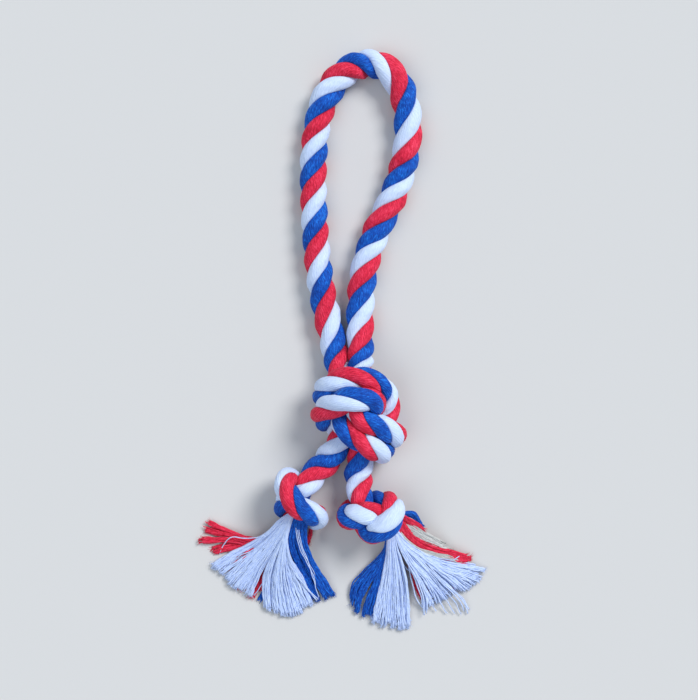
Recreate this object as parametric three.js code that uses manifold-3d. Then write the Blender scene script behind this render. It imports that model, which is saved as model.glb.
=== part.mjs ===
// Rope dog toy lying flat: one three-strand cotton rope, doubled into a handle loop, both legs tied in a doubled
// overhand knot, each tail ended by a single overhand knot, and the strand ends unlaid into tassels.
// Millimetres. X runs across the toy, Y from the tassels to the crown of the loop, Z up from the floor it lies on.
import * as THREE from "three";
import { mergeVertices } from "three/addons/utils/BufferGeometryUtils.js";
import Module from "manifold-3d";

const wasm = await Module();
wasm.setup();

// ---- driving dimensions ----
const ROPE_RADIUS = 8.9; // free rope, 17.8 mm thick
const STATION_STEP = 4.0; // rope length from one row of LAY to the next
const RING_STEP = 4.9; // rope length from one cross-section to the next, about eight to a turn of the lay
const STRAND_GAP = 0.42; // clear space between neighbouring strands
const CORNER_FALL = 0.8; // how far a strand's shoulder stands out from the rope's axis, against its crest
const SHOULDER_FALL = 0.955;
const SINK = 0.35; // how much of the rope's underside is pressed flat by its own weight
const BEND_GAP = 2.0; // clearance between a rope's round end and the cup it turns in
const TASSEL_GAP = 1.6;
const FAN_GAP = 0.5; // clear space between neighbouring yarn bundles
const ORIGIN = [1.92, -0.82]; // middle of the toy's outline, where the frame stands

// ---- where the rope bends between bodies, as rope length from the left tassel ----
const AT = {
  leftTassel: 4.5,
  leftTail: 186.0,
  leftThroat: 455.5,
  leftFold: 547.0,
  rightFold: 765.5,
  rightThroat: 859.5,
  rightTail: 1136.0,
  rightTassel: 1315.0,
};

// ---- the lie of the rope ----
// One row every STATION_STEP of rope, from the left tassel through its end knot, the main knot, the left leg,
// the crown, the right leg, the main knot again and the right end knot: x, y, z of the centreline, the rope's
// radius there (knots are pulled tight) and the direction in which the red strand lies.
const LAY = [
  [-25.11, -129.81, 8.26, 4.49, -0.41, 0.566, -0.715],
  [-26.0, -127.92, 10.4, 4.4, -0.728, 0.336, -0.597],
  [-27.22, -125.34, 13.11, 4.34, -0.95, -0.238, -0.202],
  [-28.35, -122.3, 15.31, 4.36, -0.733, -0.478, 0.485],
  [-29.04, -118.77, 16.61, 4.47, -0.155, -0.217, 0.964],
  [-28.99, -115.02, 16.81, 4.68, 0.546, 0.02, 0.838],
  [-28.16, -111.55, 15.78, 4.87, 0.945, -0.154, 0.289],
  [-27.34, -108.53, 13.63, 5.01, 0.838, -0.421, -0.346],
  [-27.48, -105.54, 11.04, 5.07, 0.302, -0.543, -0.784],
  [-28.51, -102.23, 9.15, 5.08, -0.401, -0.44, -0.803],
  [-29.97, -98.72, 8.66, 5.09, -0.865, -0.366, -0.343],
  [-31.64, -95.38, 9.65, 5.1, -0.789, -0.568, 0.234],
  [-33.37, -92.59, 11.95, 5.12, -0.266, -0.803, 0.533],
  [-34.85, -90.66, 15.07, 5.15, 0.392, -0.787, 0.477],
  [-35.91, -89.82, 18.65, 5.16, 0.874, -0.428, 0.228],
  [-36.58, -90.21, 22.39, 5.17, 0.975, 0.14, 0.172],
  [-36.89, -91.8, 25.85, 5.18, 0.714, 0.572, 0.403],
  [-36.7, -94.37, 28.66, 5.21, 0.251, 0.636, 0.729],
  [-35.78, -97.53, 30.55, 5.24, -0.193, 0.31, 0.931],
  [-34.07, -100.84, 31.39, 5.27, -0.458, -0.208, 0.864],
  [-31.76, -103.95, 31.23, 5.31, -0.588, -0.606, 0.535],
  [-29.11, -106.75, 30.36, 5.42, -0.68, -0.73, 0.07],
  [-26.35, -109.29, 29.04, 5.48, -0.718, -0.56, -0.414],
  [-23.62, -111.59, 27.29, 5.33, -0.648, -0.101, -0.755],
  [-21.15, -113.61, 25.02, 5.18, -0.438, 0.507, -0.742],
  [-19.28, -115.28, 22.08, 5.11, -0.034, 0.908, -0.418],
  [-18.37, -116.49, 18.56, 5.08, 0.496, 0.851, -0.174],
  [-18.59, -117.21, 14.76, 5.07, 0.871, 0.43, -0.235],
  [-19.98, -117.49, 10.84, 5.05, 0.888, -0.119, -0.444],
  [-22.46, -117.45, 7.23, 5.03, 0.564, -0.608, -0.559],
  [-25.79, -117.15, 4.87, 5.03, 0.048, -0.905, -0.423],
  [-29.48, -116.37, 4.29, 5.02, -0.298, -0.954, 0.023],
  [-32.95, -114.84, 4.7, 5.01, -0.3, -0.808, 0.507],
  [-35.77, -112.67, 6.6, 5.01, 0.125, -0.662, 0.739],
  [-37.63, -110.15, 9.46, 5.03, 0.597, -0.47, 0.65],
  [-38.29, -107.49, 12.61, 5.05, 0.925, -0.286, 0.249],
  [-37.67, -104.95, 15.54, 5.07, 0.938, -0.128, -0.321],
  [-35.82, -102.71, 18.03, 5.08, 0.627, 0.095, -0.773],
  [-33.0, -100.83, 19.8, 5.09, 0.155, 0.389, -0.908],
  [-29.74, -98.94, 20.62, 5.12, -0.322, 0.63, -0.707],
  [-26.65, -96.6, 20.55, 5.24, -0.677, 0.692, -0.249],
  [-24.09, -93.79, 19.72, 5.55, -0.686, 0.66, 0.305],
  [-21.88, -90.79, 18.36, 6.09, -0.336, 0.599, 0.727],
  [-19.63, -87.83, 16.94, 6.98, 0.119, 0.327, 0.938],
  [-17.13, -84.95, 15.77, 8.02, 0.489, -0.145, 0.86],
  [-14.42, -82.11, 14.96, 8.78, 0.687, -0.577, 0.443],
  [-11.67, -79.24, 14.67, 9.16, 0.719, -0.671, -0.179],
  [-9.05, -76.26, 14.94, 9.09, 0.601, -0.363, -0.712],
  [-6.73, -73.1, 15.7, 8.53, 0.271, 0.095, -0.958],
  [-4.69, -69.8, 16.72, 7.51, -0.214, 0.415, -0.885],
  [-2.69, -66.52, 17.8, 6.54, -0.622, 0.57, -0.537],
  [-0.48, -63.35, 18.61, 5.98, -0.797, 0.604, -0.034],
  [2.0, -60.29, 18.81, 5.73, -0.656, 0.589, 0.472],
  [4.67, -57.38, 18.56, 5.65, -0.355, 0.412, 0.839],
  [7.4, -54.56, 18.61, 5.65, -0.131, -0.028, 0.991],
  [9.93, -51.68, 19.42, 5.65, 0.138, -0.442, 0.886],
  [12.24, -48.72, 20.66, 5.55, 0.46, -0.653, 0.602],
  [14.69, -46.1, 22.18, 5.42, 0.602, -0.786, 0.14],
  [17.22, -44.2, 24.35, 5.38, 0.72, -0.635, -0.281],
  [19.28, -42.73, 27.26, 5.4, 0.907, -0.185, -0.378],
  [20.31, -41.14, 30.57, 5.48, 0.893, 0.357, -0.275],
  [20.0, -39.49, 33.98, 5.6, 0.589, 0.783, -0.199],
  [18.42, -38.05, 37.17, 5.71, 0.153, 0.946, -0.285],
  [15.83, -37.05, 39.84, 5.81, -0.194, 0.831, -0.521],
  [12.5, -36.56, 41.72, 5.9, -0.286, 0.513, -0.809],
  [8.75, -36.59, 42.62, 5.99, -0.107, 0.109, -0.988],
  [4.92, -37.08, 42.48, 6.07, 0.217, -0.276, -0.936],
  [1.33, -37.95, 41.31, 6.15, 0.495, -0.583, -0.644],
  [-1.8, -39.1, 39.26, 6.21, 0.546, -0.8, -0.25],
  [-4.6, -40.38, 36.76, 6.12, 0.354, -0.931, 0.087],
  [-7.37, -41.66, 34.19, 5.86, 0.066, -0.919, 0.387],
  [-9.97, -43.03, 31.53, 5.66, -0.262, -0.74, 0.619],
  [-11.92, -44.68, 28.58, 5.58, -0.658, -0.468, 0.59],
  [-12.93, -46.56, 25.34, 5.57, -0.956, -0.172, 0.236],
  [-12.85, -48.47, 21.97, 5.58, -0.954, 0.149, -0.26],
  [-11.75, -50.25, 18.68, 5.63, -0.641, 0.51, -0.574],
  [-9.95, -51.89, 15.52, 5.72, -0.182, 0.828, -0.531],
  [-7.78, -53.42, 12.3, 5.72, 0.291, 0.932, -0.217],
  [-5.29, -54.91, 9.03, 5.63, 0.653, 0.729, 0.203],
  [-2.41, -56.52, 6.24, 5.57, 0.665, 0.331, 0.67],
  [0.83, -58.34, 4.91, 5.55, 0.134, -0.03, 0.991],
  [4.29, -60.25, 4.82, 5.57, -0.273, -0.487, 0.83],
  [7.84, -62.07, 4.93, 5.68, -0.429, -0.839, 0.335],
  [11.42, -63.83, 5.01, 5.76, -0.419, -0.858, -0.297],
  [14.98, -65.61, 5.01, 5.74, -0.259, -0.523, -0.812],
  [18.38, -67.38, 5.72, 5.72, 0.351, -0.155, -0.923],
  [21.42, -69.0, 8.08, 5.71, 0.772, 0.297, -0.562],
  [23.82, -70.33, 11.46, 5.7, 0.648, 0.752, -0.12],
  [25.34, -71.24, 15.23, 5.69, 0.127, 0.983, 0.136],
  [25.82, -71.63, 19.08, 5.68, -0.498, 0.867, 0.019],
  [25.24, -71.46, 22.89, 5.67, -0.865, 0.396, -0.307],
  [23.66, -70.73, 26.33, 5.67, -0.847, -0.25, -0.469],
  [21.25, -69.51, 29.07, 5.67, -0.598, -0.765, -0.24],
  [18.24, -67.9, 30.9, 5.68, -0.368, -0.882, 0.293],
  [14.95, -65.99, 31.76, 5.71, -0.232, -0.551, 0.801],
  [11.61, -63.86, 31.89, 5.81, -0.018, 0.008, 1.0],
  [8.33, -61.59, 31.74, 5.84, 0.323, 0.511, 0.797],
  [5.16, -59.2, 31.52, 5.71, 0.587, 0.762, 0.274],
  [2.31, -56.61, 30.91, 5.6, 0.745, 0.608, -0.275],
  [0.18, -53.85, 29.43, 5.55, 0.831, 0.092, -0.548],
  [-0.87, -50.99, 27.13, 5.54, 0.683, -0.405, -0.608],
  [-1.05, -48.01, 24.57, 5.55, 0.367, -0.587, -0.722],
  [-0.9, -44.77, 22.33, 5.59, 0.032, -0.496, -0.867],
  [-0.63, -41.2, 20.69, 5.62, -0.282, -0.316, -0.906],
  [-0.29, -37.46, 19.38, 5.62, -0.569, -0.23, -0.79],
  [-0.16, -33.71, 18.08, 5.62, -0.805, -0.199, -0.559],
  [-0.43, -29.91, 16.96, 5.65, -0.955, -0.173, -0.242],
  [-0.98, -26.07, 16.03, 5.84, -0.982, -0.126, 0.139],
  [-1.64, -22.24, 15.08, 6.32, -0.847, -0.014, 0.531],
  [-2.38, -18.44, 13.96, 6.89, -0.509, 0.167, 0.844],
  [-3.21, -14.66, 12.69, 7.25, 0.075, 0.333, 0.94],
  [-4.05, -10.87, 11.47, 7.48, 0.764, 0.333, 0.553],
  [-4.89, -7.04, 10.43, 7.73, 0.958, 0.151, -0.244],
  [-5.76, -3.19, 9.59, 8.05, 0.566, -0.025, -0.824],
  [-6.67, 0.67, 9.0, 8.36, -0.018, -0.11, -0.994],
  [-7.6, 4.54, 8.79, 8.61, -0.555, -0.142, -0.82],
  [-8.53, 8.42, 8.81, 8.74, -0.892, -0.209, -0.401],
  [-9.44, 12.31, 8.84, 8.81, -0.967, -0.225, 0.117],
  [-10.33, 16.21, 8.87, 8.86, -0.784, -0.18, 0.594],
  [-11.19, 20.11, 8.89, 8.89, -0.386, -0.087, 0.918],
  [-12.01, 24.02, 8.9, 8.9, 0.149, 0.03, 0.988],
  [-12.79, 27.95, 8.9, 8.9, 0.67, 0.129, 0.731],
  [-13.52, 31.88, 8.9, 8.9, 0.965, 0.173, 0.197],
  [-14.2, 35.82, 8.9, 8.9, 0.898, 0.149, -0.415],
  [-14.83, 39.77, 8.9, 8.9, 0.491, 0.075, -0.868],
  [-15.41, 43.73, 8.9, 8.9, -0.1, -0.014, -0.995],
  [-15.94, 47.69, 8.9, 8.9, -0.653, -0.084, -0.753],
  [-16.43, 51.66, 8.9, 8.9, -0.963, -0.113, -0.243],
  [-16.87, 55.64, 8.9, 8.9, -0.934, -0.1, 0.344],
  [-17.28, 59.62, 8.9, 8.9, -0.579, -0.056, 0.813],
  [-17.64, 63.6, 8.9, 8.9, -0.003, -0.0, 1.0],
  [-17.98, 67.59, 8.9, 8.9, 0.6, 0.048, 0.798],
  [-18.28, 71.58, 8.9, 8.9, 0.965, 0.069, 0.254],
  [-18.55, 75.57, 8.9, 8.9, 0.917, 0.058, -0.395],
  [-18.79, 79.56, 8.9, 8.9, 0.499, 0.028, -0.866],
  [-18.99, 83.55, 8.9, 8.9, -0.102, -0.005, -0.995],
  [-19.17, 87.55, 8.9, 8.9, -0.661, -0.027, -0.75],
  [-19.32, 91.55, 8.9, 8.9, -0.974, -0.033, -0.223],
  [-19.44, 95.54, 8.9, 8.9, -0.921, -0.024, 0.389],
  [-19.53, 99.54, 8.9, 8.9, -0.517, -0.009, 0.856],
  [-19.59, 103.54, 8.9, 8.9, 0.09, 0.001, 0.996],
  [-19.6, 107.54, 8.9, 8.9, 0.667, -0.0, 0.745],
  [-19.58, 111.54, 8.9, 8.9, 0.981, -0.012, 0.195],
  [-19.51, 115.54, 8.9, 8.9, 0.904, -0.023, -0.428],
  [-19.38, 119.54, 8.9, 8.9, 0.481, -0.02, -0.877],
  [-19.18, 123.53, 8.9, 8.9, -0.116, 0.007, -0.993],
  [-18.9, 127.52, 8.9, 8.9, -0.67, 0.054, -0.74],
  [-18.54, 131.51, 8.9, 8.9, -0.974, 0.1, -0.201],
  [-18.08, 135.48, 8.9, 8.9, -0.898, 0.114, 0.424],
  [-17.53, 139.44, 8.9, 8.9, -0.465, 0.071, 0.882],
  [-16.86, 143.38, 8.9, 8.9, 0.144, -0.028, 0.989],
  [-16.07, 147.3, 8.92, 8.91, 0.684, -0.158, 0.712],
  [-15.11, 151.18, 8.97, 8.96, 0.95, -0.262, 0.17],
  [-13.96, 155.0, 9.09, 9.08, 0.866, -0.276, -0.417],
  [-12.56, 158.74, 9.23, 9.23, 0.509, -0.176, -0.842],
  [-10.9, 162.37, 9.38, 9.37, 0.03, 0.02, -0.999],
  [-8.96, 165.85, 9.47, 9.47, -0.424, 0.273, -0.864],
  [-6.75, 169.18, 9.5, 9.5, -0.718, 0.519, -0.464],
  [-4.29, 172.32, 9.5, 9.5, -0.759, 0.643, 0.101],
  [-1.59, 175.25, 9.5, 9.5, -0.536, 0.542, 0.647],
  [1.39, 177.89, 9.5, 9.5, -0.149, 0.188, 0.971],
  [4.65, 180.15, 9.5, 9.5, 0.2, -0.336, 0.92],
  [8.2, 181.92, 9.5, 9.5, 0.328, -0.814, 0.479],
  [11.98, 183.09, 9.5, 9.5, 0.212, -0.954, -0.214],
  [15.9, 183.62, 9.5, 9.5, 0.026, -0.526, -0.85],
  [19.84, 183.46, 9.5, 9.5, 0.039, 0.299, -0.953],
  [23.69, 182.59, 9.5, 9.5, 0.275, 0.829, -0.487],
  [27.28, 180.98, 9.5, 9.5, 0.498, 0.866, 0.039],
  [30.48, 178.69, 9.5, 9.5, 0.593, 0.679, 0.434],
  [33.22, 175.84, 9.5, 9.5, 0.537, 0.434, 0.723],
  [35.5, 172.59, 9.47, 9.47, 0.323, 0.185, 0.928],
  [37.39, 169.08, 9.41, 9.41, -0.064, -0.059, 0.996],
  [38.96, 165.42, 9.34, 9.34, -0.561, -0.228, 0.796],
  [40.25, 161.64, 9.29, 9.28, -0.914, -0.282, 0.293],
  [41.3, 157.79, 9.26, 9.25, -0.926, -0.222, -0.305],
  [42.12, 153.88, 9.25, 9.25, -0.642, -0.115, -0.758],
  [42.71, 149.93, 9.25, 9.25, -0.2, -0.024, -0.98],
  [43.06, 145.95, 9.25, 9.25, 0.282, 0.016, -0.959],
  [43.17, 141.95, 9.25, 9.25, 0.699, -0.001, -0.715],
  [43.06, 137.96, 9.25, 9.25, 0.952, -0.051, -0.3],
  [42.76, 133.97, 9.25, 9.25, 0.978, -0.094, 0.186],
  [42.31, 130.0, 9.25, 9.25, 0.767, -0.098, 0.634],
  [41.75, 126.04, 9.25, 9.25, 0.342, -0.053, 0.938],
  [41.08, 122.1, 9.25, 9.25, -0.227, 0.042, 0.973],
  [40.29, 118.18, 9.25, 9.25, -0.756, 0.164, 0.633],
  [39.38, 114.29, 9.25, 9.25, -0.969, 0.247, 0.006],
  [38.32, 110.43, 9.25, 9.25, -0.762, 0.226, -0.607],
  [37.11, 106.62, 9.25, 9.25, -0.273, 0.092, -0.958],
  [35.76, 102.86, 9.25, 9.25, 0.289, -0.109, -0.951],
  [34.3, 99.14, 9.25, 9.25, 0.73, -0.299, -0.614],
  [32.74, 95.45, 9.25, 9.25, 0.914, -0.399, -0.071],
  [31.11, 91.8, 9.25, 9.25, 0.793, -0.362, 0.49],
  [29.42, 88.17, 9.25, 9.25, 0.424, -0.199, 0.883],
  [27.72, 84.56, 9.25, 9.25, -0.058, 0.028, 0.998],
  [26.01, 80.94, 9.25, 9.25, -0.505, 0.238, 0.83],
  [24.31, 77.32, 9.25, 9.25, -0.813, 0.376, 0.444],
  [22.66, 73.68, 9.25, 9.25, -0.911, 0.405, -0.076],
  [21.07, 70.01, 9.25, 9.25, -0.728, 0.307, -0.613],
  [19.56, 66.3, 9.25, 9.25, -0.252, 0.098, -0.963],
  [18.16, 62.56, 9.25, 9.25, 0.352, -0.126, -0.927],
  [16.88, 58.77, 9.25, 9.25, 0.807, -0.257, -0.531],
  [15.74, 54.94, 9.25, 9.25, 0.963, -0.268, 0.017],
  [14.74, 51.07, 9.25, 9.25, 0.823, -0.195, 0.533],
  [13.89, 47.16, 9.25, 9.25, 0.438, -0.086, 0.895],
  [13.2, 43.22, 9.25, 9.25, -0.104, 0.016, 0.994],
  [12.65, 39.26, 9.25, 9.25, -0.639, 0.078, 0.766],
  [12.22, 35.29, 9.25, 9.25, -0.962, 0.089, 0.259],
  [11.9, 31.3, 9.25, 9.25, -0.935, 0.063, -0.349],
  [11.67, 27.31, 9.26, 9.25, -0.557, 0.024, -0.83],
  [11.52, 23.32, 9.28, 9.25, 0.039, -0.006, -0.999],
  [11.44, 19.33, 9.31, 9.23, 0.637, -0.016, -0.77],
  [11.41, 15.35, 9.39, 9.16, 0.982, -0.009, -0.188],
  [11.43, 11.38, 9.77, 9.07, 0.858, 0.085, 0.506],
  [11.46, 7.44, 10.58, 8.88, 0.302, 0.23, 0.925],
  [11.51, 3.54, 11.67, 8.58, -0.362, 0.277, 0.89],
  [11.55, -0.31, 13.01, 8.25, -0.848, 0.182, 0.499],
  [11.59, -4.11, 14.55, 7.93, -0.991, -0.062, -0.118],
  [11.64, -7.89, 16.04, 7.51, -0.556, -0.289, -0.779],
  [11.64, -11.68, 17.33, 6.99, 0.393, -0.283, -0.875],
  [11.6, -15.51, 18.5, 6.52, 0.99, -0.047, -0.131],
  [11.57, -19.35, 19.58, 6.13, 0.629, 0.198, 0.751],
  [11.48, -23.21, 20.65, 5.78, -0.352, 0.271, 0.896],
  [11.3, -26.97, 21.89, 5.62, -0.982, 0.123, 0.14],
  [10.91, -30.45, 23.65, 5.58, -0.671, -0.313, -0.672],
  [10.08, -33.49, 25.96, 5.53, 0.207, -0.669, -0.714],
  [8.92, -36.45, 28.25, 5.43, 0.887, -0.429, -0.171],
  [8.18, -39.72, 30.17, 5.38, 0.879, 0.167, 0.446],
  [8.48, -43.12, 31.96, 5.38, 0.291, 0.511, 0.808],
  [9.85, -46.29, 33.67, 5.43, -0.304, 0.275, 0.912],
  [12.23, -49.04, 34.84, 5.53, -0.494, -0.313, 0.811],
  [15.35, -51.25, 35.1, 5.59, -0.418, -0.786, 0.456],
  [18.82, -52.87, 34.46, 5.64, -0.38, -0.923, -0.053],
  [22.31, -54.18, 33.13, 5.72, -0.497, -0.695, -0.519],
  [25.63, -55.57, 31.45, 5.71, -0.552, -0.2, -0.81],
  [28.66, -57.19, 29.48, 5.63, -0.414, 0.385, -0.825],
  [31.17, -58.83, 26.98, 5.59, -0.101, 0.837, -0.538],
  [32.91, -60.21, 23.82, 5.58, 0.37, 0.914, -0.165],
  [33.72, -61.05, 20.15, 5.59, 0.826, 0.563, -0.007],
  [33.54, -61.2, 16.3, 5.59, 0.984, -0.029, -0.173],
  [32.38, -60.65, 12.43, 5.59, 0.695, -0.579, -0.426],
  [30.31, -59.5, 8.77, 5.58, 0.106, -0.889, -0.446],
  [27.52, -57.92, 5.98, 5.56, -0.438, -0.893, -0.101],
  [24.25, -56.09, 4.87, 5.56, -0.453, -0.731, 0.511],
  [20.8, -54.16, 4.87, 5.61, -0.159, -0.332, 0.93],
  [17.31, -52.21, 5.05, 5.78, 0.178, 0.219, 0.959],
  [13.81, -50.29, 5.22, 5.93, 0.401, 0.7, 0.591],
  [10.29, -48.41, 5.32, 5.97, 0.464, 0.886, -0.022],
  [6.74, -46.58, 5.37, 5.98, 0.345, 0.701, -0.623],
  [3.16, -44.81, 5.47, 5.91, 0.066, 0.246, -0.967],
  [-0.44, -43.1, 5.92, 5.75, -0.319, -0.263, -0.91],
  [-3.97, -41.41, 7.04, 5.66, -0.543, -0.681, -0.492],
  [-7.22, -39.69, 8.83, 5.63, -0.46, -0.884, 0.082],
  [-9.86, -37.89, 11.47, 5.62, -0.041, -0.867, 0.497],
  [-11.59, -36.03, 14.67, 5.62, 0.501, -0.66, 0.56],
  [-12.23, -34.12, 18.02, 5.62, 0.903, -0.366, 0.226],
  [-11.74, -32.19, 21.33, 5.62, 0.959, -0.037, -0.282],
  [-10.25, -30.25, 24.38, 5.65, 0.687, 0.3, -0.662],
  [-8.02, -28.37, 27.03, 5.74, 0.276, 0.614, -0.739],
  [-5.25, -26.66, 29.28, 5.96, -0.09, 0.844, -0.529],
  [-2.05, -25.22, 31.08, 6.18, -0.285, 0.948, -0.14],
  [1.52, -24.19, 32.42, 6.08, -0.283, 0.915, 0.288],
  [5.33, -23.64, 33.3, 5.79, -0.166, 0.736, 0.657],
  [9.25, -23.63, 33.76, 5.63, -0.025, 0.411, 0.911],
  [13.13, -24.15, 33.66, 5.59, 0.114, -0.033, 0.993],
  [16.75, -25.17, 32.75, 5.59, 0.16, -0.501, 0.85],
  [19.92, -26.56, 30.96, 5.62, -0.023, -0.832, 0.555],
  [22.64, -28.19, 28.6, 5.73, -0.404, -0.89, 0.212],
  [25.04, -30.12, 26.1, 5.88, -0.777, -0.604, -0.18],
  [27.07, -32.54, 23.74, 5.96, -0.774, 0.015, -0.634],
  [28.55, -35.52, 21.66, 6.0, -0.041, 0.496, -0.868],
  [29.36, -38.95, 19.97, 6.04, 0.733, 0.329, -0.595],
  [29.4, -42.66, 18.77, 6.05, 0.988, -0.062, -0.142],
  [28.6, -46.41, 18.11, 5.93, 0.895, -0.328, 0.302],
  [26.97, -49.94, 18.02, 5.69, 0.657, -0.357, 0.664],
  [24.74, -53.19, 18.35, 5.58, 0.416, -0.19, 0.889],
  [22.38, -56.37, 18.76, 5.58, 0.155, -0.004, 0.988],
  [19.96, -59.53, 19.05, 5.66, -0.113, 0.164, 0.98],
  [17.4, -62.57, 19.21, 5.72, -0.356, 0.326, 0.876],
  [14.98, -65.72, 19.22, 5.75, -0.616, 0.397, 0.68],
  [13.1, -69.16, 19.02, 5.92, -0.863, 0.328, 0.384],
  [11.94, -72.81, 18.37, 6.42, -0.974, 0.227, -0.014],
  [11.25, -76.44, 17.06, 7.18, -0.851, 0.321, -0.416],
  [10.66, -80.08, 15.48, 8.09, -0.502, 0.386, -0.774],
  [10.24, -83.88, 14.29, 8.89, 0.049, 0.205, -0.978],
  [10.18, -87.81, 13.87, 9.01, 0.669, 0.024, -0.743],
  [10.4, -91.76, 14.2, 8.33, 0.996, 0.067, -0.057],
  [10.75, -95.67, 15.12, 7.17, 0.698, 0.256, 0.669],
  [11.16, -99.51, 16.21, 6.07, 0.066, 0.268, 0.961],
  [11.69, -103.35, 17.06, 5.37, -0.443, 0.07, 0.894],
  [12.36, -107.22, 17.31, 5.09, -0.759, -0.159, 0.631],
  [13.07, -111.09, 16.98, 5.01, -0.938, -0.19, 0.289],
  [13.6, -114.92, 16.79, 4.99, -0.991, -0.12, -0.058],
  [14.16, -118.55, 17.58, 4.99, -0.875, -0.347, -0.339],
  [15.38, -121.61, 19.42, 5.02, -0.549, -0.71, -0.44],
  [17.37, -123.72, 21.88, 5.04, -0.067, -0.884, -0.462],
  [19.91, -124.64, 24.56, 5.05, 0.431, -0.746, -0.508],
  [22.67, -124.28, 27.19, 5.05, 0.696, -0.284, -0.66],
  [25.36, -122.73, 29.44, 5.08, 0.438, 0.263, -0.86],
  [27.77, -120.2, 30.96, 5.13, -0.224, 0.47, -0.854],
  [29.78, -117.01, 31.41, 5.22, -0.749, 0.365, -0.553],
  [31.27, -113.61, 30.61, 5.3, -0.949, 0.272, -0.159],
  [32.13, -110.47, 28.65, 5.36, -0.931, 0.317, 0.179],
  [32.25, -107.93, 25.79, 5.38, -0.765, 0.498, 0.408],
  [31.56, -106.16, 22.44, 5.38, -0.458, 0.769, 0.447],
  [30.09, -105.2, 18.98, 5.38, -0.047, 0.979, 0.196],
  [27.98, -104.89, 15.67, 5.43, 0.369, 0.893, -0.257],
  [25.4, -105.05, 12.52, 5.49, 0.662, 0.398, -0.635],
  [22.46, -105.61, 9.46, 5.36, 0.69, -0.342, -0.638],
  [19.23, -106.49, 6.69, 5.17, 0.396, -0.902, -0.172],
  [15.74, -107.54, 4.78, 5.09, 0.064, -0.823, 0.565],
  [12.04, -108.66, 4.36, 5.08, 0.03, -0.061, 0.998],
  [8.47, -109.95, 5.07, 5.1, -0.013, 0.769, 0.639],
  [5.44, -111.39, 7.51, 5.16, -0.509, 0.86, -0.028],
  [3.3, -112.79, 11.02, 5.19, -0.926, 0.179, -0.333],
  [2.27, -113.99, 14.84, 5.17, -0.719, -0.646, -0.256],
  [2.47, -114.85, 18.61, 5.13, -0.004, -0.984, -0.176],
  [3.87, -115.3, 22.13, 5.1, 0.615, -0.671, -0.414],
  [6.32, -115.33, 25.07, 5.09, 0.654, 0.003, -0.756],
  [9.57, -115.01, 27.04, 5.08, 0.214, 0.634, -0.743],
  [13.26, -114.49, 27.79, 5.05, -0.141, 0.963, -0.228],
  [16.94, -113.92, 27.19, 5.01, 0.019, 0.91, 0.415],
  [20.17, -113.65, 25.31, 4.99, 0.563, 0.484, 0.67],
  [22.83, -114.26, 22.68, 5.0, 0.689, -0.182, 0.701],
  [25.25, -115.79, 20.01, 5.07, 0.238, -0.67, 0.703],
  [27.69, -117.77, 17.57, 5.31, -0.322, -0.854, 0.41],
  [30.28, -119.87, 15.37, 5.62, -0.675, -0.728, -0.118],
  [32.99, -122.04, 13.36, 5.64, -0.714, -0.329, -0.619],
  [35.73, -124.33, 11.37, 5.37, -0.463, 0.198, -0.864],
  [38.46, -126.73, 9.39, 5.08, -0.006, 0.618, -0.786],
  [41.15, -129.2, 7.42, 4.91, 0.439, 0.803, -0.403],
  [43.65, -131.56, 5.4, 4.83, 0.717, 0.693, 0.076]
];

const COLOURS = {
  red: { colour: 0xd62a3f, turn: 0 },
  blue: { colour: 0x1550c8, turn: -(2 * Math.PI) / 3 },
  white: { colour: 0xdde2f5, turn: -(4 * Math.PI) / 3 },
};

const vec = (a) => new THREE.Vector3(a[0], a[1], a[2]);

// Centre, axis direction, radius and red-strand direction at rope length s.
function along(s) {
  const f = Math.min(Math.max(s / STATION_STEP, 0), LAY.length - 1.0001);
  const i = Math.floor(f),
    t = f - i;
  const row = (k) => LAY[Math.min(Math.max(k, 0), LAY.length - 1)];
  const p0 = vec(row(i - 1)),
    p1 = vec(row(i)),
    p2 = vec(row(i + 1)),
    p3 = vec(row(i + 2));
  const centre = new THREE.Vector3(),
    axis = new THREE.Vector3();
  for (const k of ["x", "y", "z"]) {
    const a = 2 * p1[k],
      b = p2[k] - p0[k],
      c = 2 * p0[k] - 5 * p1[k] + 4 * p2[k] - p3[k],
      d = -p0[k] + 3 * p1[k] - 3 * p2[k] + p3[k];
    centre[k] = 0.5 * (a + b * t + c * t * t + d * t * t * t);
    axis[k] = 0.5 * (b + 2 * c * t + 3 * d * t * t);
  }
  axis.normalize();
  const radius = row(i)[3] * (1 - t) + row(i + 1)[3] * t;
  // the red strand turns evenly between two rows
  const r1 = new THREE.Vector3(row(i)[4], row(i)[5], row(i)[6]);
  const r2 = new THREE.Vector3(row(i + 1)[4], row(i + 1)[5], row(i + 1)[6]);
  const side = r1.clone().multiplyScalar(1 - t).addScaledVector(r2, t);
  side.addScaledVector(axis, -side.dot(axis)).normalize();
  return { centre, axis, radius, side, across: axis.clone().cross(side) };
}

// A strand's cross-section: a sixth-rounded sector of the rope, its tip at the rope's axis. Six corners.
function section(s, turn, scale) {
  const f = along(s),
    r = f.radius * scale,
    h = STRAND_GAP / 2;
  const shoulder = Math.PI / 3 - Math.asin(Math.min(h / (CORNER_FALL * r), 0.9));
  const polar = [
    [h / Math.sin(Math.PI / 3), 0],
    [CORNER_FALL * r, -shoulder],
    [SHOULDER_FALL * r, -0.52],
    [r, 0],
    [SHOULDER_FALL * r, 0.52],
    [CORNER_FALL * r, shoulder],
  ];
  return polar.map(([q, a]) =>
    f.centre
      .clone()
      .addScaledVector(f.side, q * Math.cos(a + turn))
      .addScaledVector(f.across, q * Math.sin(a + turn))
  );
}

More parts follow.
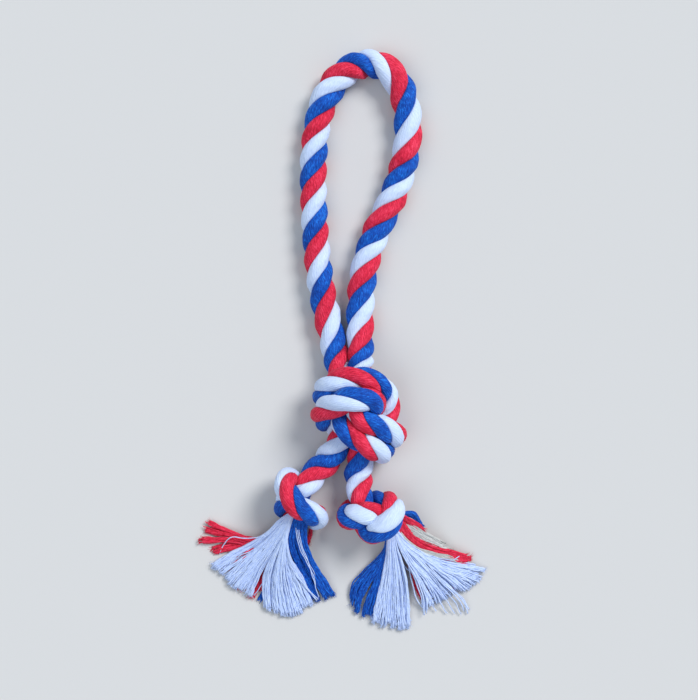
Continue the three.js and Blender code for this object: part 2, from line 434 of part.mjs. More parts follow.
// ---- solids ----
function toSolid(points, faces) {
  const g = new THREE.BufferGeometry();
  g.setAttribute("position", new THREE.BufferAttribute(new Float32Array(points.flatMap((p) => [p.x, p.y, p.z])), 3));
  g.setIndex(faces.flat());
  return new wasm.Manifold(
    new wasm.Mesh({
      numProp: 3,
      vertProperties: g.attributes.position.array,
      triVerts: new Uint32Array(g.index.array),
    })
  );
}
function geometrySolid(geometry) {
  const g = geometry.clone();
  g.deleteAttribute("normal");
  g.deleteAttribute("uv");
  const m = mergeVertices(g, 1e-4);
  return new wasm.Manifold(
    new wasm.Mesh({
      numProp: 3,
      vertProperties: m.attributes.position.array,
      triVerts: new Uint32Array(m.index.array),
    })
  );
}
const ball = (p, r) => geometrySolid(new THREE.SphereGeometry(r, 20, 12).rotateX(Math.PI / 2).translate(p.x, p.y, p.z));
const underFloor = geometrySolid(new THREE.BoxGeometry(600, 600, 40).translate(0, 0, SINK - 20));

// One strand between rope lengths a and b. A round end shrinks like a ball about its own pivot.
function strand(a, b, colour, roundA, roundB) {
  const turn = COLOURS[colour].turn,
    stations = [];
  const ra = along(a).radius,
    rb = along(b).radius;
  if (roundA) for (const k of [0.93, 0.75, 0.45]) stations.push([a - k * ra, Math.sqrt(1 - k * k)]);
  const n = Math.max(2, Math.round((b - a) / RING_STEP));
  for (let i = 0; i <= n; i++) stations.push([a + ((b - a) * i) / n, 1]);
  if (roundB) for (const k of [0.45, 0.75, 0.93]) stations.push([b + k * rb, Math.sqrt(1 - k * k)]);
  const points = [],
    faces = [];
  stations.forEach(([s, scale]) => points.push(...section(s, turn, scale)));
  const m = 6;
  for (let i = 0; i + 1 < stations.length; i++)
    for (let j = 0; j < m; j++) {
      const p = i * m + j,
        q = i * m + ((j + 1) % m),
        pn = p + m,
        qn = q + m;
      // the long side walls of neighbouring strands are split along the same diagonal, outer corner to next tip
      if (j === 0) faces.push([p, pn, q], [q, pn, qn]);
      else faces.push([p, qn, q], [p, pn, qn]);
    }
  const last = (stations.length - 1) * m;
  for (let j = 1; j + 1 < m; j++) {
    faces.push([0, j, j + 1]);
    faces.push([last, last + j + 1, last + j]);
  }
  let solid = toSolid(points, faces);
  if (solid.volume() < 0) solid = toSolid(points, faces.map(([x, y, z]) => [x, z, y]));
  return solid;
}

// A fan of yarns seen from above: it leaves its root between two headings and lies down on the floor.
function fan(root, rootHalf, from, to, reach, tipHeight, bodyHeight, landing) {
  const across = 6,
    out = [0.22, 0.42, 0.6, 0.78, 0.92, 1];
  const start = Math.min(Math.max(1.6, 1.0 / THREE.MathUtils.degToRad(to - from)), 0.72 * rootHalf);
  const rows = [start, 0.85 * rootHalf, landing * 0.55, landing, ...out.slice(1)];
  const tops = [],
    bottoms = [];
  rows.forEach((q, i) => {
    const t = [],
      b = [];
    for (let j = 0; j <= across; j++) {
      const w = j / across;
      const heading = THREE.MathUtils.degToRad(from + (to - from) * w);
      const k = Math.min(w * (reach.length - 1), reach.length - 1.001),
        e = Math.floor(k);
      const length = reach[e] * (1 - (k - e)) + reach[e + 1] * (k - e);
      const d = i < 4 ? q : landing + (length - landing) * ((i - 3) / (rows.length - 4));
      let side = 0;
      if (j === 0) side = FAN_GAP / 2;
      if (j === across) side = -FAN_GAP / 2;
      const x = root.x + d * Math.cos(heading) - side * Math.sin(heading),
        y = root.y + d * Math.sin(heading) + side * Math.cos(heading);
      let top, bottom;
      if (i < 2) {
        const half = Math.sqrt(Math.max(rootHalf * rootHalf - d * d, 0.2 * rootHalf * rootHalf));
        top = root.z + half;
        bottom = root.z - half;
      } else {
        const down = Math.min(1, (d - rootHalf) / (landing - rootHalf));
        const body = bodyHeight + (tipHeight - bodyHeight) * Math.max(0, (d - landing) / (length - landing));
        bottom = (root.z - 0.6 * rootHalf) * (1 - down);
        top = bottom + (2 * rootHalf * 0.8) * (1 - down) + body * down;
      }
      const edge = j === 0 || j === across ? 0.55 : 1;
      t.push(new THREE.Vector3(x, y, bottom + (top - bottom) * edge));
      b.push(new THREE.Vector3(x, y, Math.max(bottom, 0)));
    }
    tops.push(t);
    bottoms.push(b);
  });
  const w = across + 1,
    n = rows.length,
    points = [...tops.flat(), ...bottoms.flat()],
    faces = [];
  const T = (i, j) => i * w + j,
    B = (i, j) => n * w + i * w + j;
  for (let i = 0; i + 1 < n; i++)
    for (let j = 0; j < across; j++) {
      faces.push([T(i, j), T(i + 1, j), T(i + 1, j + 1)], [T(i, j), T(i + 1, j + 1), T(i, j + 1)]);
      faces.push([B(i, j), B(i + 1, j + 1), B(i + 1, j)], [B(i, j), B(i, j + 1), B(i + 1, j + 1)]);
    }
  for (let i = 0; i + 1 < n; i++) {
    faces.push([T(i, 0), B(i, 0), B(i + 1, 0)], [T(i, 0), B(i + 1, 0), T(i + 1, 0)]);
    faces.push([T(i, across), B(i + 1, across), B(i, across)], [T(i, across), T(i + 1, across), B(i + 1, across)]);
  }
  for (let j = 0; j < across; j++) {
    faces.push([T(0, j), T(0, j + 1), B(0, j + 1)], [T(0, j), B(0, j + 1), B(0, j)]);
    faces.push([T(n - 1, j), B(n - 1, j + 1), T(n - 1, j + 1)], [T(n - 1, j), B(n - 1, j), B(n - 1, j + 1)]);
  }
  let solid = toSolid(points, faces);
  if (solid.volume() < 0) solid = toSolid(points, faces.map(([a, b, c]) => [a, c, b]));
  return solid;
}

const toyGroup = new THREE.Group();
toyGroup.name = "rope_dog_toy";

function add(name, solid, colour) {
  const pieces = solid.decompose().sort((a, b) => b.volume() - a.volume());
  const m = pieces[0].getMesh(),
    k = m.numProp,
    v = new Float32Array(m.vertProperties.length / k * 3);
  for (let i = 0; i < v.length / 3; i++) v.set(m.vertProperties.subarray(i * k, i * k + 3), i * 3);
  const g = new THREE.BufferGeometry();
  g.setAttribute("position", new THREE.BufferAttribute(v, 3));
  g.setIndex(new THREE.BufferAttribute(new Uint32Array(m.triVerts), 1));
  g.translate(-ORIGIN[0], -ORIGIN[1], -SINK);
  g.computeVertexNormals();
  const mesh = new THREE.Mesh(
    g,
    new THREE.MeshStandardMaterial({ color: COLOURS[colour].colour, roughness: 0.95, metalness: 0, name: "cotton_" + colour })
  );
  mesh.name = name;
  toyGroup.add(mesh);
}

// ---- pivots: the ball end of a moving rope turns about these points ----
const pivot = {};
for (const [k, s] of Object.entries(AT)) pivot[k] = { p: along(s).centre, r: along(s).radius };
// both legs share one hinge line at the throat and one at the fold
const throatZ = 0.5 * (pivot.leftThroat.p.z + pivot.rightThroat.p.z),
  throatY = 0.5 * (pivot.leftThroat.p.y + pivot.rightThroat.p.y);
const foldZ = ROPE_RADIUS,
  foldY = 0.5 * (pivot.leftFold.p.y + pivot.rightFold.p.y);
const cup = {
  leftTassel: ball(pivot.leftTassel.p, pivot.leftTassel.r + TASSEL_GAP),
  rightTassel: ball(pivot.rightTassel.p, pivot.rightTassel.r + TASSEL_GAP),
  leftTail: ball(pivot.leftTail.p, pivot.leftTail.r + BEND_GAP),
  rightTail: ball(pivot.rightTail.p, pivot.rightTail.r + BEND_GAP),
  leftThroat: ball(new THREE.Vector3(pivot.leftThroat.p.x, throatY, throatZ), pivot.leftThroat.r + BEND_GAP),
  rightThroat: ball(new THREE.Vector3(pivot.rightThroat.p.x, throatY, throatZ), pivot.rightThroat.r + BEND_GAP),
  leftFold: ball(new THREE.Vector3(pivot.leftFold.p.x, foldY, foldZ), pivot.leftFold.r + BEND_GAP),
  rightFold: ball(new THREE.Vector3(pivot.rightFold.p.x, foldY, foldZ), pivot.rightFold.r + BEND_GAP),
};

// ---- the seven lengths of rope, three strands each ----
const LENGTHS = [
  ["left_end_knot", AT.leftTassel, AT.leftTail, false, true, ["leftTassel"]],
  ["main_knot_left", AT.leftTail, AT.leftThroat, false, false, ["leftTail", "rightTail", "leftThroat", "rightThroat"]],
  ["left_leg", AT.leftThroat, AT.leftFold, true, false, ["leftFold"]],
  ["loop_crown", AT.leftFold, AT.rightFold, true, true, []],
  ["right_leg", AT.rightFold, AT.rightThroat, false, true, ["rightFold"]],
  ["main_knot_right", AT.rightThroat, AT.rightTail, false, false, ["leftTail", "rightTail", "leftThroat", "rightThroat"]],
  ["right_end_knot", AT.rightTail, AT.rightTassel, true, false, ["rightTassel"]],
];
for (const [name, a, b, roundA, roundB, cups] of LENGTHS)
  for (const colour of ["red", "white", "blue"]) {
    let solid = strand(a, b, colour, roundA, roundB);
    for (const c of cups) solid = solid.subtract(cup[c]);
    add(name + "_" + colour, solid.subtract(underFloor), colour);
  }

// ---- tassels: each strand's yarns as one fan, side by side round the rope's end ----
const FANS = [
  // root, headings from and to, reach across the fan, height at the tips, height of the body, landing distance
  ["left_tassel_red", "leftTassel", 178, 196, [64, 68], 3.5, 7, 20],
  ["left_tassel_white", "leftTassel", 196, 277, [66, 60, 56, 54, 55, 55, 50], 3.5, 7.5, 20],
  ["left_tassel_blue", "leftTassel", 277, 297, [48, 50, 46], 4, 7.5, 20],
  ["right_tassel_blue", "rightTassel", 222, 250, [52, 60, 64], 4, 8, 16],
  ["right_tassel_white", "rightTassel", 250, 337, [66, 66, 62, 60, 57, 58, 60], 3.5, 8, 16],
  ["right_tassel_red", "rightTassel", 337, 350, [56, 50], 3.5, 7, 16],
];
for (const [name, root, from, to, reach, tip, body, landing] of FANS) {
  const p = pivot[root].p.clone();
  const solid = fan(p, pivot[root].r, from, to, reach, tip, body, landing);
  add(name, solid.translate([0, 0, SINK]).subtract(underFloor), name.split("_").pop());
}

export default toyGroup;
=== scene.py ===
import math
import bpy
import numpy as np
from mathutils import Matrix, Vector


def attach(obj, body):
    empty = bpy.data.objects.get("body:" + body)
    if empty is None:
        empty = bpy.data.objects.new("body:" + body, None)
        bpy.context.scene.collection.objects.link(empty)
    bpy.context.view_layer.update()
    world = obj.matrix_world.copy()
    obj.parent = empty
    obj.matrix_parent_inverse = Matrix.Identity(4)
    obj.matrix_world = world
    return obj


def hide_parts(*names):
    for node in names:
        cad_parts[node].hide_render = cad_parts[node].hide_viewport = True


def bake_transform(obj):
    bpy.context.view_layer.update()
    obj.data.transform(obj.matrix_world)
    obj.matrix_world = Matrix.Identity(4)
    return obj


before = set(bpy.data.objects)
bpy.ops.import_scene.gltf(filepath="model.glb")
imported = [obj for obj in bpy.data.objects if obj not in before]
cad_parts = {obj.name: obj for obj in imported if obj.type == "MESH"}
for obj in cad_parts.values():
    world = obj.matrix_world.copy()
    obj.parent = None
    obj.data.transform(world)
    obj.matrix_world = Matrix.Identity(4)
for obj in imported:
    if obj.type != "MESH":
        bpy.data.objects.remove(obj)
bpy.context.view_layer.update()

# ---------------------------------------------------------------------------------------------------------
# Units: the rope is laid out in millimetres in the photo's plane, and goes to metres in the row frame at the end.
# ---------------------------------------------------------------------------------------------------------
ORIGIN = np.array([1.92, -0.82, 0.35])
PX = 0.66
RNG = np.random.default_rng(20)


def flat(x, y):
    """A place seen in the plan, in its own units, as millimetres across and along the toy."""
    return np.array([(x - 343.0) * PX, (342.0 - y) * PX])


def metres(p):
    return (np.asarray(p, float) - ORIGIN) / 1000.0


# One row every 4 mm of rope from the left tassel to the right one: centre x, y, z, the rope's own radius there
# and the direction in which the red strand lies.
LAY = np.array([
    [-25.11, -129.81, 8.26, 6.37, -0.41, 0.566, -0.715],
    [-26.0, -127.92, 10.4, 6.44, -0.728, 0.336, -0.597],
    [-27.22, -125.34, 13.11, 6.62, -0.95, -0.238, -0.202],
    [-28.35, -122.3, 15.31, 6.87, -0.733, -0.478, 0.485],
    [-29.04, -118.77, 16.61, 7.15, -0.155, -0.217, 0.964],
    [-28.99, -115.02, 16.81, 7.41, 0.546, 0.02, 0.838],
    [-28.16, -111.55, 15.78, 7.59, 0.945, -0.154, 0.289],
    [-27.34, -108.53, 13.63, 7.67, 0.843, -0.389, -0.372],
    [-28.47, -105.54, 11.04, 7.68, 0.297, -0.516, -0.803],
    [-29.83, -102.23, 9.15, 7.66, -0.405, -0.43, -0.807],
    [-31.29, -98.72, 8.66, 7.66, -0.863, -0.37, -0.343],
    [-32.3, -95.38, 9.65, 7.65, -0.791, -0.565, 0.236],
    [-33.37, -92.59, 11.95, 7.65, -0.269, -0.8, 0.537],
    [-34.85, -90.66, 15.07, 7.65, 0.393, -0.788, 0.475],
    [-35.91, -89.82, 18.65, 7.65, 0.873, -0.428, 0.233],
    [-36.58, -90.21, 22.39, 7.65, 0.975, 0.14, 0.171],
    [-36.89, -91.8, 25.85, 7.65, 0.714, 0.577, 0.396],
    [-36.7, -94.37, 28.66, 7.65, 0.25, 0.643, 0.724],
    [-35.78, -97.53, 30.55, 7.65, -0.194, 0.313, 0.93],
    [-34.07, -100.84, 31.39, 7.65, -0.464, -0.199, 0.863],
    [-31.76, -103.95, 31.23, 7.65, -0.598, -0.595, 0.537],
    [-29.11, -106.75, 30.36, 7.65, -0.686, -0.724, 0.072],
    [-25.86, -108.8, 29.04, 7.7, -0.722, -0.595, -0.353],
    [-22.63, -110.6, 27.29, 7.75, -0.701, -0.209, -0.682],
    [-19.83, -112.12, 25.02, 7.8, -0.58, 0.354, -0.734],
    [-17.63, -113.3, 22.08, 7.85, -0.289, 0.822, -0.491],
    [-16.89, -114.51, 18.56, 7.8, 0.188, 0.954, -0.234],
    [-17.27, -115.23, 14.76, 7.75, 0.64, 0.734, -0.229],
    [-18.99, -115.84, 10.84, 7.7, 0.867, 0.21, -0.452],
    [-21.8, -116.13, 7.23, 7.65, 0.657, -0.365, -0.66],
    [-25.46, -116.33, 4.87, 7.65, 0.113, -0.815, -0.569],
    [-29.48, -116.04, 4.29, 7.65, -0.305, -0.95, -0.064],
    [-32.95, -114.67, 4.7, 7.65, -0.314, -0.826, 0.469],
    [-35.77, -112.67, 6.6, 7.65, 0.113, -0.65, 0.751],
    [-37.63, -110.15, 9.46, 7.65, 0.596, -0.468, 0.653],
    [-38.29, -107.49, 12.61, 7.65, 0.925, -0.285, 0.25],
    [-37.67, -104.95, 15.54, 7.65, 0.94, -0.125, -0.318],
    [-35.82, -102.71, 18.03, 7.67, 0.625, 0.093, -0.775],
    [-33.0, -100.83, 19.8, 7.71, 0.149, 0.385, -0.911],
    [-29.74, -98.94, 20.62, 7.84, -0.332, 0.623, -0.708],
    [-26.65, -96.6, 20.55, 8.05, -0.674, 0.696, -0.25],
    [-24.09, -93.79, 19.72, 8.3, -0.678, 0.67, 0.301],
    [-21.88, -90.79, 18.36, 8.55, -0.34, 0.594, 0.729],
    [-19.63, -87.83, 16.94, 8.78, 0.116, 0.323, 0.939],
    [-17.13, -84.95, 15.77, 9.01, 0.488, -0.146, 0.861],
    [-14.42, -82.11, 14.96, 9.25, 0.689, -0.574, 0.442],
    [-11.67, -79.24, 14.67, 9.42, 0.724, -0.666, -0.179],
    [-9.05, -76.26, 14.94, 9.43, 0.6, -0.364, -0.712],
    [-6.73, -73.1, 15.7, 9.26, 0.265, 0.086, -0.96],
    [-4.69, -69.8, 16.72, 9.01, -0.214, 0.414, -0.885],
    [-2.69, -66.52, 17.8, 8.77, -0.625, 0.566, -0.538],
    [-0.48, -63.35, 18.61, 8.55, -0.796, 0.605, -0.034],
    [2.0, -60.29, 18.81, 8.38, -0.666, 0.578, 0.472],
    [4.67, -57.38, 18.56, 8.25, -0.379, 0.387, 0.841],
    [7.4, -54.56, 18.61, 8.18, -0.131, -0.028, 0.991],
    [9.93, -51.68, 19.42, 8.14, 0.146, -0.433, 0.89],
    [12.24, -48.72, 20.66, 8.13, 0.444, -0.672, 0.593],
    [14.69, -46.1, 22.18, 8.13, 0.605, -0.783, 0.142],
    [17.22, -44.2, 24.35, 8.13, 0.741, -0.62, -0.258],
    [19.28, -42.73, 27.26, 8.13, 0.913, -0.179, -0.366],
    [20.31, -41.14, 30.57, 8.14, 0.893, 0.36, -0.269],
    [20.0, -39.49, 33.98, 8.17, 0.589, 0.784, -0.198],
    [18.42, -38.05, 37.17, 8.22, 0.153, 0.946, -0.285],
    [15.83, -37.05, 39.84, 8.28, -0.192, 0.831, -0.522],
    [12.5, -36.56, 41.72, 8.34, -0.285, 0.513, -0.81],
    [8.75, -36.59, 42.62, 8.38, -0.107, 0.109, -0.988],
    [4.92, -37.08, 42.48, 8.4, 0.216, -0.276, -0.936],
    [1.33, -37.95, 41.31, 8.39, 0.487, -0.586, -0.648],
    [-1.8, -39.1, 39.26, 8.36, 0.531, -0.806, -0.261],
    [-4.6, -40.38, 36.76, 8.32, 0.351, -0.932, 0.085],
    [-7.37, -41.66, 34.19, 8.26, 0.071, -0.917, 0.392],
    [-9.97, -43.03, 31.53, 8.21, -0.265, -0.742, 0.615],
    [-11.92, -44.68, 28.58, 8.16, -0.661, -0.471, 0.585],
    [-12.93, -46.56, 25.34, 8.14, -0.957, -0.173, 0.234],
    [-12.85, -48.47, 21.97, 8.13, -0.935, 0.212, -0.283],
    [-11.75, -50.25, 18.68, 8.13, -0.506, 0.647, -0.571],
    [-9.95, -51.89, 15.52, 8.13, 0.058, 0.908, -0.415],
    [-7.78, -53.42, 12.3, 8.13, 0.511, 0.859, -0.033],
    [-5.29, -54.91, 9.03, 8.13, 0.743, 0.554, 0.375],
    [-2.41, -56.52, 6.24, 8.13, 0.611, 0.158, 0.776],
    [0.83, -58.34, 4.91, 8.13, 0.101, -0.191, 0.976],
    [4.29, -60.25, 4.82, 8.13, -0.303, -0.566, 0.767],
    [7.84, -62.07, 4.93, 8.13, -0.436, -0.853, 0.285],
    [11.42, -63.83, 5.01, 8.13, -0.418, -0.85, -0.322],
    [14.98, -65.61, 5.01, 8.13, -0.2, -0.554, -0.808],
    [18.38, -67.38, 5.72, 8.13, 0.356, -0.158, -0.921],
    [21.42, -69.0, 8.08, 8.13, 0.758, 0.407, -0.509],
    [23.82, -70.33, 11.46, 8.13, 0.483, 0.876, 0.01],
    [25.34, -71.24, 15.23, 8.13, -0.193, 0.958, 0.214],
    [25.82, -71.63, 19.08, 8.13, -0.808, 0.59, 0.006],
    [25.24, -71.46, 22.89, 8.13, -0.955, 0.061, -0.292],
    [23.66, -70.73, 26.33, 8.13, -0.792, -0.498, -0.354],
    [21.25, -69.51, 29.07, 8.13, -0.527, -0.844, -0.102],
    [18.24, -67.9, 30.9, 8.13, -0.336, -0.873, 0.354],
    [14.95, -65.99, 31.76, 8.13, -0.237, -0.581, 0.779],
    [11.61, -63.86, 31.89, 8.13, -0.081, -0.117, 0.99],
    [8.33, -61.59, 31.74, 8.13, 0.2, 0.349, 0.915],
    [5.16, -59.2, 31.52, 8.13, 0.475, 0.67, 0.571],
    [2.31, -56.61, 30.91, 8.13, 0.698, 0.703, 0.136],
    [0.18, -53.85, 29.43, 8.13, 0.9, 0.411, -0.146],
    [-0.87, -50.99, 27.13, 8.13, 0.961, -0.025, -0.274],
    [-1.05, -48.01, 24.57, 8.13, 0.853, -0.316, -0.415],
    [-0.9, -44.77, 22.33, 8.13, 0.585, -0.429, -0.689],
    [-0.63, -41.2, 20.69, 8.13, 0.249, -0.38, -0.891],
    [-0.29, -37.46, 19.38, 8.13, -0.195, -0.312, -0.93],
    [-0.16, -33.71, 18.08, 8.15, -0.61, -0.252, -0.751],
    [-0.43, -29.91, 16.96, 8.2, -0.896, -0.202, -0.396],
    [-0.98, -26.07, 16.03, 8.3, -0.987, -0.135, 0.084],
    [-1.64, -22.24, 15.08, 8.44, -0.848, -0.012, 0.53],
    [-2.38, -18.44, 13.96, 8.58, -0.508, 0.162, 0.846],
    [-3.21, -14.66, 12.69, 8.7, 0.076, 0.327, 0.942],
    [-4.05, -10.87, 11.47, 8.78, 0.764, 0.332, 0.553],
    [-4.89, -7.04, 10.43, 8.84, 0.957, 0.153, -0.245],
    [-5.76, -3.19, 9.59, 8.87, 0.565, -0.022, -0.825],
    [-6.67, 0.67, 9.0, 8.88, -0.019, -0.107, -0.994],
    [-7.6, 4.54, 8.79, 8.89, -0.552, -0.153, -0.82],
    [-8.53, 8.42, 8.81, 8.89, -0.892, -0.209, -0.401],
    [-9.44, 12.31, 8.84, 8.9, -0.967, -0.224, 0.117],
    [-10.33, 16.21, 8.87, 8.9, -0.784, -0.18, 0.594],
    [-11.19, 20.11, 8.89, 8.9, -0.386, -0.087, 0.918],
    [-12.01, 24.02, 8.9, 8.9, 0.149, 0.029, 0.988],
    [-12.79, 27.95, 8.9, 8.9, 0.67, 0.129, 0.731],
    [-13.52, 31.88, 8.9, 8.9, 0.965, 0.173, 0.197],
    [-14.2, 35.82, 8.9, 8.9, 0.898, 0.149, -0.415],
    [-14.83, 39.77, 8.9, 8.9, 0.491, 0.075, -0.868],
    [-15.41, 43.73, 8.9, 8.9, -0.1, -0.014, -0.995],
    [-15.94, 47.69, 8.9, 8.9, -0.653, -0.084, -0.753],
    [-16.43, 51.66, 8.9, 8.9, -0.963, -0.113, -0.243],
    [-16.87, 55.64, 8.9, 8.9, -0.934, -0.1, 0.344],
    [-17.28, 59.62, 8.9, 8.9, -0.579, -0.056, 0.813],
    [-17.64, 63.6, 8.9, 8.9, -0.003, -0.0, 1.0],
    [-17.98, 67.59, 8.9, 8.9, 0.6, 0.048, 0.798],
    [-18.28, 71.58, 8.9, 8.9, 0.965, 0.069, 0.254],
    [-18.55, 75.57, 8.9, 8.9, 0.917, 0.059, -0.395],
    [-18.79, 79.56, 8.9, 8.9, 0.499, 0.028, -0.866],
    [-18.99, 83.55, 8.9, 8.9, -0.102, -0.005, -0.995],
    [-19.17, 87.55, 8.9, 8.9, -0.661, -0.027, -0.75],
    [-19.32, 91.55, 8.9, 8.9, -0.974, -0.033, -0.223],
    [-19.44, 95.54, 8.9, 8.9, -0.921, -0.024, 0.389],
    [-19.53, 99.54, 8.9, 8.9, -0.517, -0.01, 0.856],
    [-19.59, 103.54, 8.9, 8.9, 0.09, 0.001, 0.996],
    [-19.6, 107.54, 8.9, 8.9, 0.667, -0.001, 0.745],
    [-19.58, 111.54, 8.9, 8.9, 0.981, -0.011, 0.195],
    [-19.51, 115.54, 8.9, 8.9, 0.904, -0.023, -0.428],
    [-19.38, 119.54, 8.9, 8.9, 0.481, -0.02, -0.877],
    [-19.18, 123.53, 8.9, 8.9, -0.116, 0.007, -0.993],
    [-18.9, 127.52, 8.9, 8.9, -0.67, 0.054, -0.74],
    [-18.54, 131.51, 8.9, 8.9, -0.974, 0.1, -0.201],
    [-18.08, 135.48, 8.9, 8.9, -0.898, 0.114, 0.424],
    [-17.53, 139.44, 8.9, 8.91, -0.465, 0.072, 0.882],
    [-16.86, 143.38, 8.9, 8.93, 0.144, -0.029, 0.989],
    [-16.07, 147.3, 8.92, 8.99, 0.684, -0.16, 0.712],
    [-15.11, 151.18, 8.97, 9.09, 0.949, -0.264, 0.17],
    [-13.96, 155.0, 9.09, 9.23, 0.865, -0.278, -0.417],
    [-12.56, 158.74, 9.23, 9.35, 0.508, -0.178, -0.842],
    [-10.9, 162.37, 9.38, 9.44, 0.029, 0.019, -0.999],
    [-8.96, 165.85, 9.47, 9.48, -0.424, 0.273, -0.864],
    [-6.75, 169.18, 9.5, 9.5, -0.717, 0.52, -0.464],
    [-4.29, 172.32, 9.5, 9.5, -0.758, 0.644, 0.101],
    [-1.59, 175.25, 9.5, 9.5, -0.534, 0.544, 0.647],
    [1.39, 177.89, 9.5, 9.5, -0.148, 0.189, 0.971],
    [4.65, 180.15, 9.5, 9.5, 0.199, -0.337, 0.92],
    [8.2, 181.92, 9.5, 9.5, 0.327, -0.815, 0.479],
    [11.98, 183.09, 9.5, 9.5, 0.211, -0.954, -0.214],
    [15.9, 183.62, 9.5, 9.5, 0.025, -0.526, -0.85],
    [19.84, 183.46, 9.5, 9.5, 0.04, 0.299, -0.953],
    [23.69, 182.59, 9.5, 9.5, 0.276, 0.829, -0.487],
    [27.28, 180.98, 9.5, 9.5, 0.498, 0.866, 0.039],
    [30.48, 178.69, 9.5, 9.5, 0.59, 0.681, 0.434],
    [33.22, 175.84, 9.5, 9.5, 0.535, 0.437, 0.723],
    [35.5, 172.59, 9.47, 9.48, 0.322, 0.186, 0.928],
    [37.39, 169.08, 9.41, 9.45, -0.068, -0.051, 0.996],
    [38.96, 165.42, 9.34, 9.4, -0.561, -0.228, 0.796],
    [40.25, 161.64, 9.29, 9.34, -0.913, -0.283, 0.293],
    [41.3, 157.79, 9.26, 9.29, -0.926, -0.222, -0.305],
    [42.12, 153.88, 9.25, 9.26, -0.642, -0.114, -0.758],
    [42.71, 149.93, 9.25, 9.25, -0.2, -0.024, -0.98],
    [43.06, 145.95, 9.25, 9.25, 0.282, 0.016, -0.959],
    [43.17, 141.95, 9.25, 9.25, 0.699, 0.0, -0.715],
    [43.06, 137.96, 9.25, 9.25, 0.953, -0.049, -0.3],
    [42.76, 133.97, 9.25, 9.25, 0.978, -0.092, 0.186],
    [42.31, 130.0, 9.25, 9.25, 0.767, -0.098, 0.634],
    [41.75, 126.04, 9.25, 9.25, 0.342, -0.053, 0.938],
    [41.08, 122.1, 9.25, 9.25, -0.227, 0.042, 0.973],
    [40.29, 118.18, 9.25, 9.25, -0.756, 0.165, 0.633],
    [39.38, 114.29, 9.25, 9.25, -0.969, 0.246, 0.006],
    [38.32, 110.43, 9.25, 9.25, -0.762, 0.226, -0.607],
    [37.11, 106.62, 9.25, 9.25, -0.273, 0.092, -0.958],
    [35.76, 102.86, 9.25, 9.25, 0.289, -0.109, -0.951],
    [34.3, 99.14, 9.25, 9.25, 0.731, -0.298, -0.614],
    [32.74, 95.45, 9.25, 9.25, 0.915, -0.398, -0.071],
    [31.11, 91.8, 9.25, 9.25, 0.793, -0.362, 0.49],
    [29.42, 88.17, 9.25, 9.25, 0.424, -0.199, 0.883],
    [27.72, 84.56, 9.25, 9.25, -0.058, 0.027, 0.998],
    [26.01, 80.94, 9.25, 9.25, -0.505, 0.238, 0.83],
    [24.31, 77.32, 9.25, 9.25, -0.814, 0.375, 0.444],
    [22.66, 73.68, 9.25, 9.25, -0.912, 0.404, -0.076],
    [21.07, 70.01, 9.25, 9.25, -0.728, 0.306, -0.613],
    [19.56, 66.3, 9.25, 9.25, -0.252, 0.098, -0.963],
    [18.16, 62.56, 9.25, 9.25, 0.352, -0.125, -0.927],
    [16.88, 58.77, 9.25, 9.25, 0.808, -0.256, -0.531],
    [15.74, 54.94, 9.25, 9.25, 0.963, -0.268, 0.017],
    [14.74, 51.07, 9.25, 9.25, 0.823, -0.196, 0.533],
    [13.89, 47.16, 9.25, 9.25, 0.438, -0.086, 0.895],
    [13.2, 43.22, 9.25, 9.25, -0.104, 0.016, 0.994],
    [12.65, 39.26, 9.25, 9.25, -0.639, 0.079, 0.766],
    [12.22, 35.29, 9.25, 9.25, -0.962, 0.091, 0.259],
    [11.9, 31.3, 9.25, 9.25, -0.941, 0.064, -0.333],
    [11.67, 27.31, 9.26, 9.25, -0.614, 0.026, -0.789],
    [11.52, 23.32, 9.28, 9.25, -0.118, -0.003, -0.993],
    [11.44, 19.33, 9.31, 9.24, 0.4, -0.018, -0.916],
    [11.41, 15.35, 9.39, 9.21, 0.811, -0.035, -0.585],
    [11.43, 11.38, 9.77, 9.15, 0.997, -0.005, -0.072],
    [11.46, 7.44, 10.58, 9.07, 0.888, 0.117, 0.445],
    [11.51, 3.54, 11.67, 8.99, 0.541, 0.257, 0.8],
    [11.55, -0.31, 13.01, 8.93, 0.071, 0.352, 0.933],
    [11.59, -4.11, 14.55, 8.87, -0.479, 0.321, 0.817],
    [11.64, -7.89, 16.04, 8.8, -0.952, 0.1, 0.289],
    [11.64, -11.68, 17.33, 8.68, -0.787, -0.186, -0.589],
    [11.6, -15.51, 18.5, 8.5, 0.208, -0.277, -0.938],
    [11.57, -19.35, 19.58, 8.31, 0.988, -0.056, -0.147],
    [11.48, -23.21, 20.65, 8.19, 0.444, 0.245, 0.862],
    [11.3, -26.97, 21.89, 8.14, -0.727, 0.311, 0.612],
    [10.91, -30.45, 23.65, 8.13, -0.877, -0.126, -0.464],
    [10.08, -33.49, 25.96, 8.13, 0.067, -0.621, -0.781],
    [8.92, -36.45, 28.25, 8.13, 0.882, -0.417, -0.218],
    [8.18, -39.72, 30.17, 8.13, 0.881, 0.185, 0.436],
    [8.48, -43.12, 31.96, 8.13, 0.292, 0.506, 0.811],
    [9.85, -46.29, 33.67, 8.13, -0.295, 0.26, 0.919],
    [12.23, -49.04, 34.84, 8.13, -0.494, -0.313, 0.811],
    [15.35, -51.25, 35.1, 8.13, -0.427, -0.78, 0.456],
    [18.82, -52.87, 34.46, 8.13, -0.399, -0.916, -0.048],
    [22.31, -54.18, 33.13, 8.13, -0.503, -0.693, -0.517],
    [25.63, -55.57, 31.45, 8.13, -0.557, -0.197, -0.807],
    [28.66, -57.19, 29.48, 8.13, -0.427, 0.392, -0.815],
    [31.17, -58.83, 26.98, 8.13, -0.107, 0.841, -0.53],
    [32.91, -60.21, 23.82, 8.13, 0.368, 0.916, -0.16],
    [33.72, -61.05, 20.15, 8.13, 0.826, 0.563, -0.005],
    [33.54, -61.2, 16.3, 8.13, 0.985, -0.029, -0.172],
